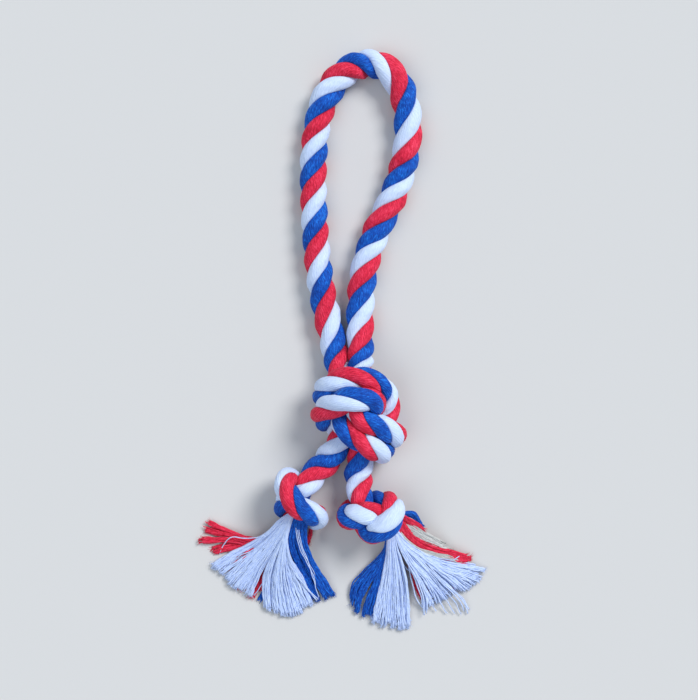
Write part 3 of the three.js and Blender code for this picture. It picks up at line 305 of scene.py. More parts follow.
    [32.38, -60.65, 12.43, 8.13, 0.694, -0.579, -0.428],
    [30.31, -59.5, 8.77, 8.13, 0.102, -0.886, -0.452],
    [27.52, -57.92, 5.98, 8.13, -0.438, -0.893, -0.101],
    [24.25, -56.09, 4.87, 8.13, -0.483, -0.714, 0.506],
    [20.8, -54.16, 4.87, 8.13, -0.161, -0.331, 0.93],
    [17.31, -52.21, 5.05, 8.13, 0.171, 0.223, 0.96],
    [13.81, -50.29, 5.22, 8.13, 0.401, 0.7, 0.591],
    [10.29, -48.41, 5.32, 8.13, 0.464, 0.885, -0.022],
    [6.74, -46.58, 5.37, 8.13, 0.342, 0.703, -0.623],
    [3.16, -44.81, 5.47, 8.13, 0.049, 0.254, -0.966],
    [-0.44, -43.1, 5.92, 8.13, -0.324, -0.261, -0.909],
    [-3.97, -41.41, 7.04, 8.13, -0.55, -0.677, -0.489],
    [-7.22, -39.69, 8.83, 8.13, -0.464, -0.882, 0.085],
    [-9.86, -37.89, 11.47, 8.13, -0.047, -0.862, 0.505],
    [-11.59, -36.03, 14.67, 8.13, 0.501, -0.659, 0.561],
    [-12.23, -34.12, 18.02, 8.13, 0.903, -0.364, 0.23],
    [-11.74, -32.19, 21.33, 8.13, 0.96, -0.035, -0.278],
    [-10.25, -30.25, 24.38, 8.13, 0.691, 0.304, -0.655],
    [-8.02, -28.37, 27.03, 8.13, 0.279, 0.616, -0.736],
    [-5.25, -26.66, 29.28, 8.13, -0.088, 0.845, -0.528],
    [-2.05, -25.22, 31.08, 8.13, -0.282, 0.949, -0.139],
    [1.52, -24.19, 32.42, 8.13, -0.283, 0.915, 0.288],
    [5.33, -23.64, 33.3, 8.13, -0.167, 0.736, 0.657],
    [9.25, -23.63, 33.76, 8.13, -0.015, 0.41, 0.912],
    [13.13, -24.15, 33.66, 8.13, 0.126, -0.036, 0.991],
    [16.75, -25.17, 32.75, 8.13, 0.16, -0.501, 0.85],
    [19.92, -26.56, 30.96, 8.13, -0.03, -0.828, 0.56],
    [22.64, -28.19, 28.6, 8.13, -0.41, -0.886, 0.217],
    [25.04, -30.12, 26.1, 8.13, -0.781, -0.6, -0.175],
    [27.07, -32.54, 23.74, 8.13, -0.775, 0.017, -0.632],
    [28.55, -35.52, 21.66, 8.13, -0.041, 0.496, -0.868],
    [29.36, -38.95, 19.97, 8.13, 0.733, 0.328, -0.595],
    [29.4, -42.66, 18.77, 8.13, 0.988, -0.065, -0.143],
    [28.6, -46.41, 18.11, 8.13, 0.895, -0.33, 0.302],
    [26.97, -49.94, 18.02, 8.13, 0.66, -0.352, 0.664],
    [24.74, -53.19, 18.35, 8.13, 0.414, -0.193, 0.89],
    [22.38, -56.37, 18.76, 8.13, 0.153, -0.006, 0.988],
    [19.96, -59.53, 19.05, 8.14, -0.114, 0.163, 0.98],
    [17.4, -62.57, 19.21, 8.19, -0.364, 0.317, 0.876],
    [14.98, -65.72, 19.22, 8.31, -0.623, 0.387, 0.68],
    [13.1, -69.16, 19.02, 8.49, -0.865, 0.325, 0.384],
    [11.94, -72.81, 18.37, 8.69, -0.969, 0.248, -0.008],
    [11.25, -76.44, 17.06, 8.9, -0.852, 0.316, -0.418],
    [10.66, -80.08, 15.48, 9.11, -0.506, 0.36, -0.784],
    [10.24, -83.88, 14.29, 9.27, 0.049, 0.201, -0.978],
    [10.18, -87.81, 13.87, 9.3, 0.669, 0.022, -0.743],
    [10.4, -91.76, 14.2, 9.16, 0.996, 0.063, -0.056],
    [10.75, -95.67, 15.12, 8.91, 0.699, 0.243, 0.672],
    [11.16, -99.51, 16.21, 8.61, 0.068, 0.252, 0.965],
    [11.69, -103.35, 17.06, 8.28, -0.441, 0.059, 0.895],
    [12.36, -107.22, 17.31, 7.97, -0.762, -0.142, 0.631],
    [13.07, -111.09, 16.98, 7.76, -0.941, -0.171, 0.29],
    [13.6, -114.92, 16.79, 7.68, -0.987, -0.149, -0.056],
    [14.16, -118.55, 17.58, 7.66, -0.871, -0.362, -0.333],
    [15.38, -121.61, 19.42, 7.65, -0.55, -0.709, -0.441],
    [16.71, -123.52, 21.88, 7.8, -0.122, -0.898, -0.422],
    [18.59, -124.24, 24.56, 7.95, 0.348, -0.831, -0.435],
    [20.86, -123.75, 27.19, 8.15, 0.671, -0.486, -0.56],
    [23.05, -122.07, 29.44, 8.35, 0.595, -0.002, -0.804],
    [26.22, -120.13, 30.96, 8.45, 0.04, 0.298, -0.954],
    [28.99, -117.54, 31.41, 8.55, -0.541, 0.245, -0.804],
    [31.01, -114.63, 30.61, 8.45, -0.901, 0.153, -0.406],
    [32.39, -111.99, 28.65, 8.35, -0.982, 0.188, 0.022],
    [32.45, -109.18, 25.79, 8.15, -0.797, 0.459, 0.392],
    [31.69, -107.15, 22.44, 7.95, -0.365, 0.818, 0.444],
    [30.16, -105.7, 18.98, 7.8, 0.113, 0.986, 0.125],
    [27.98, -104.89, 15.67, 7.65, 0.536, 0.758, -0.372],
    [25.4, -105.05, 12.52, 7.65, 0.723, 0.188, -0.665],
    [22.46, -105.61, 9.46, 7.65, 0.648, -0.518, -0.558],
    [19.23, -106.49, 6.69, 7.65, 0.299, -0.954, -0.036],
    [15.74, -107.54, 4.78, 7.65, 0.019, -0.761, 0.649],
    [12.04, -108.66, 4.36, 7.65, 0.041, -0.002, 0.999],
    [8.87, -109.95, 5.07, 7.75, -0.004, 0.76, 0.65],
    [6.23, -111.39, 7.51, 7.85, -0.453, 0.891, 0.032],
    [4.36, -112.79, 11.02, 8.05, -0.91, 0.3, -0.287],
    [3.59, -113.99, 14.84, 8.25, -0.828, -0.512, -0.23],
    [3.62, -114.35, 18.61, 8.35, -0.24, -0.963, -0.12],
    [4.86, -114.31, 22.13, 8.45, 0.398, -0.866, -0.302],
    [6.82, -113.94, 25.07, 8.45, 0.624, -0.339, -0.704],
    [9.57, -113.23, 27.04, 8.45, 0.316, 0.301, -0.9],
    [13.1, -112.61, 27.79, 8.35, -0.112, 0.83, -0.547],
    [16.61, -111.94, 27.19, 8.25, -0.075, 0.989, 0.127],
    [20.01, -112.0, 25.31, 8.1, 0.469, 0.682, 0.561],
    [22.83, -112.94, 22.68, 7.95, 0.72, -0.009, 0.694],
    [25.25, -115.13, 20.01, 7.8, 0.328, -0.604, 0.727],
    [27.69, -117.77, 17.57, 7.64, -0.281, -0.851, 0.443],
    [30.28, -119.87, 15.37, 7.6, -0.669, -0.737, -0.094],
    [32.99, -122.04, 13.36, 7.49, -0.718, -0.325, -0.615],
    [35.73, -124.33, 11.37, 7.28, -0.463, 0.198, -0.864],
    [38.46, -126.73, 9.39, 6.96, -0.006, 0.618, -0.786],
    [41.15, -129.2, 7.42, 6.65, 0.439, 0.803, -0.403],
    [43.65, -131.56, 5.4, 6.44, 0.717, 0.693, 0.076],
])
STEP = 4.0

# ---------------------------------------------------------------------------------------------------------
# The rope's line, smoothly interpolated
# ---------------------------------------------------------------------------------------------------------


def catmull(rows, f):
    i = np.clip(np.floor(f).astype(int), 0, len(rows) - 2)
    t = (f - i)[:, None]
    g = lambda k: rows[np.clip(k, 0, len(rows) - 1)]
    a, b, c, d = g(i - 1), g(i), g(i + 1), g(i + 2)
    return 0.5 * (2 * b + (c - a) * t + (2 * a - 5 * b + 4 * c - d) * t * t + (-a + 3 * b - 3 * c + d) * t ** 3)


def unit(v):
    return v / np.maximum(np.linalg.norm(v, axis=-1, keepdims=True), 1e-9)


def line_at(s):
    """Centre, axis, red-strand direction, across direction and radius at rope lengths s."""
    s = np.asarray(s, float)
    f = np.clip(s / STEP, 0, len(LAY) - 1.0001)
    c = catmull(LAY[:, :3], f)
    e = 0.02
    ax = unit(catmull(LAY[:, :3], np.clip(f + e, 0, len(LAY) - 1.0001)) - catmull(LAY[:, :3], np.clip(f - e, 0, len(LAY) - 1.0001)))
    side = catmull(LAY[:, 4:7], f)
    side = unit(side - ax * (side * ax).sum(1, keepdims=True))
    return c, ax, side, np.cross(ax, side), catmull(LAY[:, 3:4], f)[:, 0]


# ---------------------------------------------------------------------------------------------------------
# Where one pass of the rope presses on another: how far out the soft surface may go, on a coarse net
# ---------------------------------------------------------------------------------------------------------
NET_STEP, NET_ROUND = 2.0, 48
net_s = np.arange(0, (len(LAY) - 1) * STEP + 0.01, NET_STEP)
net_c, net_a, net_side, net_across, net_r = line_at(net_s)
net_phi = np.arange(NET_ROUND) * 2 * np.pi / NET_ROUND


def press():
    most = np.full((len(net_s), NET_ROUND), 1.6)
    for i in range(len(net_s)):
        d = np.linalg.norm(net_c - net_c[i], axis=1)
        other = np.where((np.abs(net_s - net_s[i]) > np.maximum(17.0, 2.4 * net_r[i])) & (d < 1.3 * (net_r[i] + net_r)))[0]
        if not len(other):
            continue
        out = np.cos(net_phi)[:, None] * net_side[i] + np.sin(net_phi)[:, None] * net_across[i]
        # the plane halfway (by radius) between this pass and each other one, met along each direction
        lo, hi = np.zeros(NET_ROUND), np.full(NET_ROUND, 1.6)
        for _ in range(9):
            mid = 0.5 * (lo + hi)
            p = net_c[i] + out * (mid * net_r[i])[:, None]
            far = np.linalg.norm(p[:, None] - net_c[other][None], axis=2) / net_r[other][None]
            inside = mid < far.min(1) - 0.012
            lo, hi = np.where(inside, mid, lo), np.where(inside, hi, mid)
        most[i] = lo
    return most


MOST = press()


def allowed(s, phi):
    f = np.clip(s / NET_STEP, 0, len(net_s) - 1.0001)
    i = f.astype(int)
    t = f - i
    g = (phi / (2 * np.pi) % 1.0) * NET_ROUND
    j = g.astype(int) % NET_ROUND
    w = g - np.floor(g)
    k = (j + 1) % NET_ROUND
    return (MOST[i, j] * (1 - w) + MOST[i, k] * w) * (1 - t) + (MOST[i + 1, j] * (1 - w) + MOST[i + 1, k] * w) * t


# ---------------------------------------------------------------------------------------------------------
# One strand's cross-section: a soft lobe pressed against its two neighbours along the rope's axis
# ---------------------------------------------------------------------------------------------------------
LOBE_AT, LOBE_R = 0.35, 0.672
YARNS = 20  # yarns that show round one strand
PER_YARN = 5
ROUND = YARNS * PER_YARN


def smooth_min(a, b, k):
    h = np.clip(0.5 + 0.5 * (b - a) / k, 0, 1)
    return b * (1 - h) + a * h - k * h * (1 - h)


def lobe():
    """The closed outline as a table of x, y over its own length from 0 to 1, starting at the innermost point."""
    psi = np.linspace(-np.pi, np.pi, 1441)
    ox = 0.47
    d = np.stack([np.cos(psi), np.sin(psi)], 1)
    q = ox - LOBE_AT
    t = -q * d[:, 0] + np.sqrt(np.maximum((q * d[:, 0]) ** 2 - q * q + LOBE_R ** 2, 0))
    gap = 0.010
    for sgn in (1, -1):
        n = np.array([-math.sin(math.pi / 3), sgn * math.cos(math.pi / 3)])
        dist = ox * math.sin(math.pi / 3) - gap
        nd = d @ n
        w = np.where(nd > 1e-3, dist / np.maximum(nd, 1e-3), 9.0)
        t = smooth_min(t, w, 0.085)
    xy = np.stack([ox + t * d[:, 0], t * d[:, 1]], 1)
    a = np.r_[0, np.cumsum(np.linalg.norm(np.diff(xy, axis=0), axis=1))]
    return a / a[-1], xy, a[-1]


LOBE_A, LOBE_XY, LOBE_LENGTH = lobe()
COLOURS = {"red": 0.0, "blue": -2 * math.pi / 3, "white": -4 * math.pi / 3}


def value_noise(x, y, seed, n=64):
    """Smooth noise on a grid that repeats, for soft unevenness of the strands."""
    g = np.random.default_rng(seed).standard_normal((256, n))
    i, j = np.floor(x).astype(int), np.floor(y).astype(int)
    u, v = x - i, y - j
    u, v = u * u * (3 - 2 * u), v * v * (3 - 2 * v)
    a, b, c, d = g[i % 256, j % n], g[(i + 1) % 256, j % n], g[i % 256, (j + 1) % n], g[(i + 1) % 256, (j + 1) % n]
    return (a * (1 - u) + b * u) * (1 - v) + (c * (1 - u) + d * u) * v


RING = 1.0
SWELL = 0.99  # soft cotton stands a little proud of the laid size
BACK = 0.85  # how far the yarns lean back from the strand towards the rope's own line
# where a slack strand spreads over its neighbours: rope length, half length, strand, share
SPREAD = ((1192.0, 12.0, "white", 0.26), (1272.0, 10.0, "white", 0.16))


def turns_of(s):
    """How far the strands have turned about the rope's line by rope length s."""
    c, ax, side, across, r = line_at(s)
    d = np.zeros(len(s))
    up = np.array([0.0, 0.0, 1.0])
    # turning of the side vector against a frame carried along without twist
    n = side[0].copy()
    total = 0.0
    for i in range(1, len(s)):
        a, b = ax[i - 1], ax[i]
        v = np.cross(a, b)
        w = np.dot(a, b)
        carried = side[i - 1] + np.cross(v, side[i - 1]) + np.cross(v, np.cross(v, side[i - 1])) / (1 + w)
        total += math.atan2(np.dot(np.cross(carried, side[i]), b), np.dot(carried, side[i]))
        d[i] = total
    return d


TURN_S = np.arange(0, (len(LAY) - 1) * STEP, 1.0)
TURN = turns_of(TURN_S)
PROFILE = {3: [-1.0, 0.45, 0.55], 5: [-1.35, 0.05, 0.62, 0.62, 0.05]}[PER_YARN]


def strand_points(s, colour):
    """Rings of one strand at rope lengths s, in mm. The mesh lines follow the yarns, which lean against the lay."""
    c, ax, side, across, r = line_at(s)
    turn = COLOURS[colour]
    seed = {"red": 3, "blue": 5, "white": 9}[colour]
    # an outer point moves this share of the outline for a turn of the strand
    lean = -BACK * np.interp(s, TURN_S, TURN) / (LOBE_LENGTH * 0.98)
    j = np.arange(ROUND)
    a = (j[None] / ROUND + lean[:, None]) % 1.0
    x = np.interp(a, LOBE_A, LOBE_XY[:, 0]) * r[:, None] * SWELL
    spread = 1 + sum(share * np.exp(-(((s - at) / half) ** 2)) for at, half, which, share in SPREAD if which == colour)
    y = np.interp(a, LOBE_A, LOBE_XY[:, 1]) * (r * spread)[:, None] * SWELL
    ss = s[:, None] + 0 * a
    yarn = j // PER_YARN
    wide = value_noise(ss / 9.0, yarn[None] * 7.31 + 0 * a, seed + 3)
    ridge = np.array(PROFILE * YARNS)[None] * (0.105 + 0.035 * wide) * (0.72 if colour == "white" else 1.0)
    # slow unevenness, fixed to the outline so that it doesn't slide with the yarns
    bump = 0.15 * value_noise(ss / 7.0, a * 6.0, seed, 6) + 0.07 * wide + 0.045 * value_noise(ss / 1.9, j[None] * 0.8 + 0 * a, seed + 1)
    lift = (bump + ridge) * np.clip((x / np.maximum(r[:, None], 1e-6) - 0.30) / 0.30, 0, 1)
    gx, gy = x - LOBE_AT * r[:, None], y
    gl = np.maximum(np.hypot(gx, gy), 1e-6)
    x, y = x + lift * gx / gl, y + lift * gy / gl
    rho, phi = np.hypot(x, y), np.arctan2(y, x) + turn
    cap = allowed(np.repeat(s, ROUND), phi.ravel()).reshape(rho.shape) * r[:, None]
    soft = smooth_min(rho, cap, 0.7)
    rho = np.where(cap < 1.5 * r[:, None], soft, rho)
    rho = np.maximum(rho, 0.02)
    p = c[:, None] + rho[..., None] * (np.cos(phi)[..., None] * side[:, None] + np.sin(phi)[..., None] * across[:, None])
    # the underside lies pressed on the floor
    z = p[..., 2] - ORIGIN[2]
    p[..., 2] = ORIGIN[2] + np.where(z < 1.2, 0.02 + 1.18 * np.clip((z + 1.2) / 2.4, 0, 1) ** 2, z)
    return p, ss, j[None] / ROUND * 30.0 + 0 * a


def mesh_object(name, verts, quads, tris, material_of=None, uv=None, materials=(), flat_ends=False):
    me = bpy.data.meshes.new(name)
    nq, nt = len(quads), len(tris)
    me.vertices.add(len(verts))
    me.vertices.foreach_set("co", metres(verts).astype(np.float32).ravel())
    loops = np.concatenate([quads.ravel(), tris.ravel()]) if nt else quads.ravel()
    me.loops.add(len(loops))
    me.loops.foreach_set("vertex_index", loops.astype(np.int32))
    me.polygons.add(nq + nt)
    starts = np.concatenate([np.arange(nq) * 4, nq * 4 + np.arange(nt) * 3]).astype(np.int32)
    totals = np.concatenate([np.full(nq, 4), np.full(nt, 3)]).astype(np.int32)
    me.polygons.foreach_set("loop_start", starts)
    me.polygons.foreach_set("loop_total", totals)
    if material_of is not None:
        me.polygons.foreach_set("material_index", material_of.astype(np.int32))
    smooth = np.ones(nq + nt, bool)
    if flat_ends:  # a cut face keeps its own flat shade, so that the side shades on smoothly over the cut
        smooth[nq:] = False
    me.polygons.foreach_set("use_smooth", smooth)
    for m in materials:
        me.materials.append(m)
    if uv is not None:
        layer = me.uv_layers.new(name="lay")
        layer.data.foreach_set("uv", uv[loops].astype(np.float32).ravel())
    me.update(calc_edges=True)
    me.validate()
    o = bpy.data.objects.new(name, me)
    bpy.context.scene.collection.objects.link(o)
    return o


# ---------------------------------------------------------------------------------------------------------
# Cotton
# ---------------------------------------------------------------------------------------------------------


def cotton(name, dark, mid, light, spread=0.10, gloss=0.35, yarn=False):
    """Spun cotton: fibres, speckle and slow patches mixed into a ramp from the shaded fibre to the lit one."""
    m = bpy.data.materials.new(name)
    m.use_nodes = True
    nt = m.node_tree
    nt.nodes.clear()
    new = nt.nodes.new
    out, bsdf = new("ShaderNodeOutputMaterial"), new("ShaderNodeBsdfPrincipled")
    nt.links.new(bsdf.outputs[0], out.inputs[0])
    bsdf.inputs["Specular IOR Level"].default_value = gloss
    bsdf.inputs["Sheen Weight"].default_value = 0.12
    bsdf.inputs["Sheen Roughness"].default_value = 0.45
    bsdf.inputs["Sheen Tint"].default_value = (*[min(1, 0.50 + 0.6 * v) for v in light], 1)
    bsdf.inputs["Metallic"].default_value = 0.0
    uv = new("ShaderNodeUVMap")
    uv.uv_map = "lay"
    sep = new("ShaderNodeSeparateXYZ")
    nt.links.new(uv.outputs[0], sep.inputs[0])

    def node(kind, **sockets):
        n = new(kind)
        for k, v in sockets.items():
            n.inputs[k].default_value = v
        return n

    def math_node(op, a, b=None):
        n = new("ShaderNodeMath")
        n.operation = op
        for i, v in enumerate((a, b)):
            if v is None:
                continue
            if isinstance(v, (int, float)):
                n.inputs[i].default_value = v
            else:
                nt.links.new(v, n.inputs[i])
        return n.outputs[0]

    def noise(x, y, detail, rough):
        """Noise over the yarn's own coordinates."""
        comb = new("ShaderNodeCombineXYZ")
        nt.links.new(x, comb.inputs[0])
        nt.links.new(y, comb.inputs[1])
        n = node("ShaderNodeTexNoise", Scale=1.0, Detail=detail, Roughness=rough)
        nt.links.new(comb.outputs[0], n.inputs["Vector"])
        return n.outputs[0]

    # u is millimetres along the strand, v millimetres round it, on a line that follows the yarn
    u, v = sep.outputs[0], sep.outputs[1]
    geo = new("ShaderNodeTexCoord")
    ply = math_node("ADD", v, math_node("MULTIPLY", u, 0.0 if yarn else 0.52))
    fibre = noise(math_node("MULTIPLY", u, 0.35 if yarn else 0.42), math_node("MULTIPLY", ply, 2.6), 5.0, 0.62)
    # clumps of fibre, about a millimetre wide and three long
    clump = noise(math_node("MULTIPLY", u, 0.30), math_node("MULTIPLY", math_node("ADD", v, math_node("MULTIPLY", u, 0.0 if yarn else 0.22)), 1.45), 2.0, 0.5)
    # fuzz: fine speckle in space
    fuzz = node("ShaderNodeTexNoise", Scale=1500.0, Detail=4.0, Roughness=0.7)
    nt.links.new(geo.outputs["Object"], fuzz.inputs["Vector"])
    speck = node("ShaderNodeTexNoise", Scale=720.0, Detail=2.0, Roughness=0.6)
    nt.links.new(geo.outputs["Object"], speck.inputs["Vector"])
    if yarn:  # each yarn is a shade of its own
        patch = noise(math_node("MULTIPLY", u, 0.012), math_node("MULTIPLY", v, 0.33), 2.0, 0.6)
    else:  # wear: slow patches
        slow = node("ShaderNodeTexNoise", Scale=95.0, Detail=3.0, Roughness=0.55)
        nt.links.new(geo.outputs["Object"], slow.inputs["Vector"])
        patch = slow.outputs[0]
    mixv = None
    for source, weight in ((fibre, 0.28), (clump, 0.32), (fuzz.outputs[0], 0.16), (speck.outputs[0], 0.08), (patch, 0.16)):
        term = math_node("MULTIPLY", source, weight)
        mixv = term if mixv is None else math_node("ADD", mixv, term)
    ramp = new("ShaderNodeValToRGB")
    ramp.color_ramp.elements[0].position, ramp.color_ramp.elements[0].color = 0.5 - spread, (*dark, 1)
    ramp.color_ramp.elements[1].position, ramp.color_ramp.elements[1].color = 0.5 + spread, (*light, 1)
    e = ramp.color_ramp.elements.new(0.5)
    e.color = (*mid, 1)
    nt.links.new(mixv, ramp.inputs[0])
    nt.links.new(ramp.outputs[0], bsdf.inputs["Base Color"])
    # loose fibre on top scatters light more than the packed fibre in the grooves
    rough = math_node("ADD", math_node("MULTIPLY", fuzz.outputs[0], 0.30), 0.52)
    nt.links.new(rough, bsdf.inputs["Roughness"])
    bump = node("ShaderNodeBump", Strength=0.65, Distance=0.00038)
    height = math_node("ADD", math_node("MULTIPLY", fibre, 0.55), math_node("MULTIPLY", fuzz.outputs[0], 0.60))
    height = math_node("ADD", height, math_node("MULTIPLY", clump, 0.45))
    nt.links.new(height, bump.inputs["Height"])
    nt.links.new(bump.outputs[0], bsdf.inputs["Normal"])
    m.diffuse_color = (*mid, 1)
    return m


RED = cotton("cotton_red", (0.40, 0.006, 0.026), (0.74, 0.016, 0.054), (0.98, 0.078, 0.155), 0.10, 0.20)
BLUE = cotton("cotton_blue", (0.0014, 0.026, 0.190), (0.003, 0.074, 0.435), (0.017, 0.225, 0.800), 0.10, 0.20)
# White cotton: its blue tint is painted blue skylight shade, strongest in the dark tone; the cotton itself is plain
# white
WHITE = cotton("cotton_white", (0.505, 0.600, 0.815), (0.632, 0.730, 0.950), (0.765, 0.848, 1.00), 0.14, 0.15)
YARN_RED = cotton("yarn_red", (0.42, 0.006, 0.026), (0.76, 0.018, 0.058), (0.98, 0.084, 0.160), 0.10, 0.20, True)
YARN_BLUE = cotton("yarn_blue", (0.0016, 0.028, 0.205), (0.004, 0.080, 0.460), (0.020, 0.235, 0.840), 0.085, 0.20, True)
# White yarn: its blue tint is painted blue skylight shade, strongest in the dark tone; the yarn itself is plain white
YARN_WHITE = cotton("yarn_white_blue_shade_painted", (0.430, 0.535, 0.84), (0.570, 0.672, 0.950), (0.77, 0.845, 1.00), 0.11, 0.15, True)
YARN_GREY = cotton("yarn_grey", (0.38, 0.37, 0.36), (0.56, 0.545, 0.52), (0.76, 0.74, 0.71), 0.12, 0.15, True)


def rope_piece(name, s0, s1, replaced):
    """Three strands between two rope lengths, as one piece with a slot for each colour."""
    n = max(3, int(round((s1 - s0) / RING)))
    s = np.linspace(s0, s1, n + 1)
    # close rings at both cuts, so that the shading runs on over them
    s = np.r_[s0, s0 + 0.06, s0 + 0.3, s[1:-1], s1 - 0.3, s1 - 0.06, s1]
    n = len(s) - 1
    m = ROUND
    V, Q, T, M, U = [], [], [], [], []
    base = 0
    for k, colour in enumerate(("red", "white", "blue")):
        p, ss, around = strand_points(s, colour)
        V.append(p.reshape(-1, 3))
        U.append(np.stack([ss.ravel(), around.ravel()], 1))
        i, j = np.meshgrid(np.arange(n), np.arange(m), indexing="ij")
        a, b = i * m + j, i * m + (j + 1) % m
        q = np.stack([a, b, b + m, a + m], -1).reshape(-1, 4)
        Q.append(q + base)
        M.append(np.full(len(q), k))
        # end caps as fans about a centre point
        for ring, flip in ((0, True), (n, False)):
            centre = len(V[-1])
            V[-1] = np.vstack([V[-1], V[-1][ring * m : ring * m + m].mean(0)])
            U[-1] = np.vstack([U[-1], [s[ring], 0.0]])
            jj = np.arange(m)
            t = np.stack([np.full(m, centre), ring * m + jj, ring * m + (jj + 1) % m], 1)
            if flip:
                t = t[:, [0, 2, 1]]
            T.append(t + base)
        base += len(V[-1])
    V, U = np.concatenate(V), np.concatenate(U)
    Q, T = np.concatenate(Q), np.concatenate(T)
    M = np.concatenate([np.concatenate(M), np.repeat([0, 0, 1, 1, 2, 2], m)])
    o = mesh_object(name, V, Q, T, M, U, (RED, WHITE, BLUE), flat_ends=True)
    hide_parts(*[f"{r}_{c}" for r in replaced for c in ("red", "white", "blue")])
    o["path_s"] = [float(s0), float(s1)]
    return o


def point_at(s):
    return metres(line_at([s])[0][0])


END = (len(LAY) - 1) * STEP
C1, C2 = 214.5, 412.5
C3, C4 = 524.0, 789.0
C5, C6 = 900.5, 1105.0
S0, S1 = 21.0, 1299.5

left_end = rope_piece("rope_left_end_knot", S0, C1, ["left_end_knot"])
knot_left = rope_piece("rope_main_knot_left", C1, C2, ["main_knot_left"])
leg_left = rope_piece("rope_left_leg", C2, C3, ["left_leg"])
crown = rope_piece("rope_loop_crown", C3, C4, ["loop_crown"])
leg_right = rope_piece("rope_right_leg", C4, C5, ["right_leg"])
knot_right = rope_piece("rope_main_knot_right", C5, C6, ["main_knot_right"])
right_end = rope_piece("rope_right_end_knot", C6, S1, ["right_end_knot"])


def blend_at(o):
    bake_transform(o)


# ---------------------------------------------------------------------------------------------------------
# Tassels: every yarn its own tube, led by guide lines over the fan
# ---------------------------------------------------------------------------------------------------------
YARN_R = 0.47
YARN_SIDES = 7
YARN_STEPS = 34


def resampled(p, n):
    p = np.asarray(p, float)
    d = np.r_[0, np.cumsum(np.linalg.norm(np.diff(p, axis=0), axis=1))]
    f = np.linspace(0, d[-1], n)
    t = np.interp(f, d, np.arange(len(d)))
    return catmull(p, np.clip(t, 0, len(p) - 1.0001))


def guides(lines, n=24):
    return np.array([resampled(np.array([[*flat(x, y), z] for x, y, z in line]), n) for line in lines])


def between(G, w):
    """A line between guides: w from 0 at the first to 1 at the last."""
    f = w * (len(G) - 1)
    i = min(int(f), len(G) - 2)
    t = f - i
    g = lambda k: G[min(max(k, 0), len(G) - 1)]
    a, b, c, d = g(i - 1), g(i), g(i + 1), g(i + 2)
    if len(G) < 3:
        return b * (1 - t) + c * t
    return 0.5 * (2 * b + (c - a) * t + (2 * a - 5 * b + 4 * c - d) * t * t + (-a + 3 * b - 3 * c + d) * t ** 3)


def tube(path, radius, seed, sides):
    """A twisted yarn along a path in mm: vertices, quads, end faces and coordinates."""
    r = np.random.default_rng(seed)
    n = len(path)
    ax = unit(np.gradient(path, axis=0))
    up = np.array([0.0, 0, 1.0])
    side = unit(np.cross(ax, up) + 1e-6)
    nor = np.cross(side, ax)
    d = np.r_[0, np.cumsum(np.linalg.norm(np.diff(path, axis=0), axis=1))]
    k = np.arange(sides) * 2 * np.pi / sides
    tip = np.clip((d[-1] - d) / (2.6 * radius), 0, 1) ** 0.5
    rad = radius * (0.50 + 0.50 * tip) * (1 + 0.06 * np.sin(d * 1.9 + r.uniform(0, 6)))
    # two plies: the section is a little oval and turns along the yarn
    twist = d * 0.9 + r.uniform(0, 6)
    oval = 1 + 0.15 * np.cos(2 * (k[None] - twist[:, None]))
    p = path[:, None] + (rad[:, None] * oval)[..., None] * (np.cos(k)[None, :, None] * side[:, None] + np.sin(k)[None, :, None] * nor[:, None])
    i, j = np.meshgrid(np.arange(n - 1), np.arange(sides), indexing="ij")
    a, b = i * sides + j, i * sides + (j + 1) % sides
    q = np.stack([b, a, a + sides, b + sides], -1).reshape(-1, 4)
    V = p.reshape(-1, 3)
    T = []
    for ring, flip in ((0, False), (n - 1, True)):
        c = len(V)
        V = np.vstack([V, path[ring] + ax[ring] * (0.0 if ring == 0 else 0.35 * radius)])
        jj = np.arange(sides)
        t = np.stack([np.full(sides, c), ring * sides + jj, ring * sides + (jj + 1) % sides], 1)
        T.append(t if not flip else t[:, [0, 2, 1]])
    uv = np.stack([np.repeat(d, sides) + r.uniform(0, 400), np.tile(k * radius, n) + r.uniform(0, 50)], 1)
    uv = np.vstack([uv, uv[:1], uv[-1:]])
    return V, q, np.concatenate(T), uv


def wiggle(t, r, slow=1.0):
    """A soft random bend along a yarn, 0 at its root, about 1 at its tip."""
    ph = r.uniform(0, 2 * np.pi, 3)
    f = r.uniform([0.4, 1.1, 2.6], [0.9, 2.2, 4.4]) * slow
    return (0.62 * np.sin(2 * np.pi * t * f[0] + ph[0]) + 0.28 * np.sin(2 * np.pi * t * f[1] + ph[1]) + 0.10 * np.sin(2 * np.pi * t * f[2] + ph[2])) * t ** 1.15


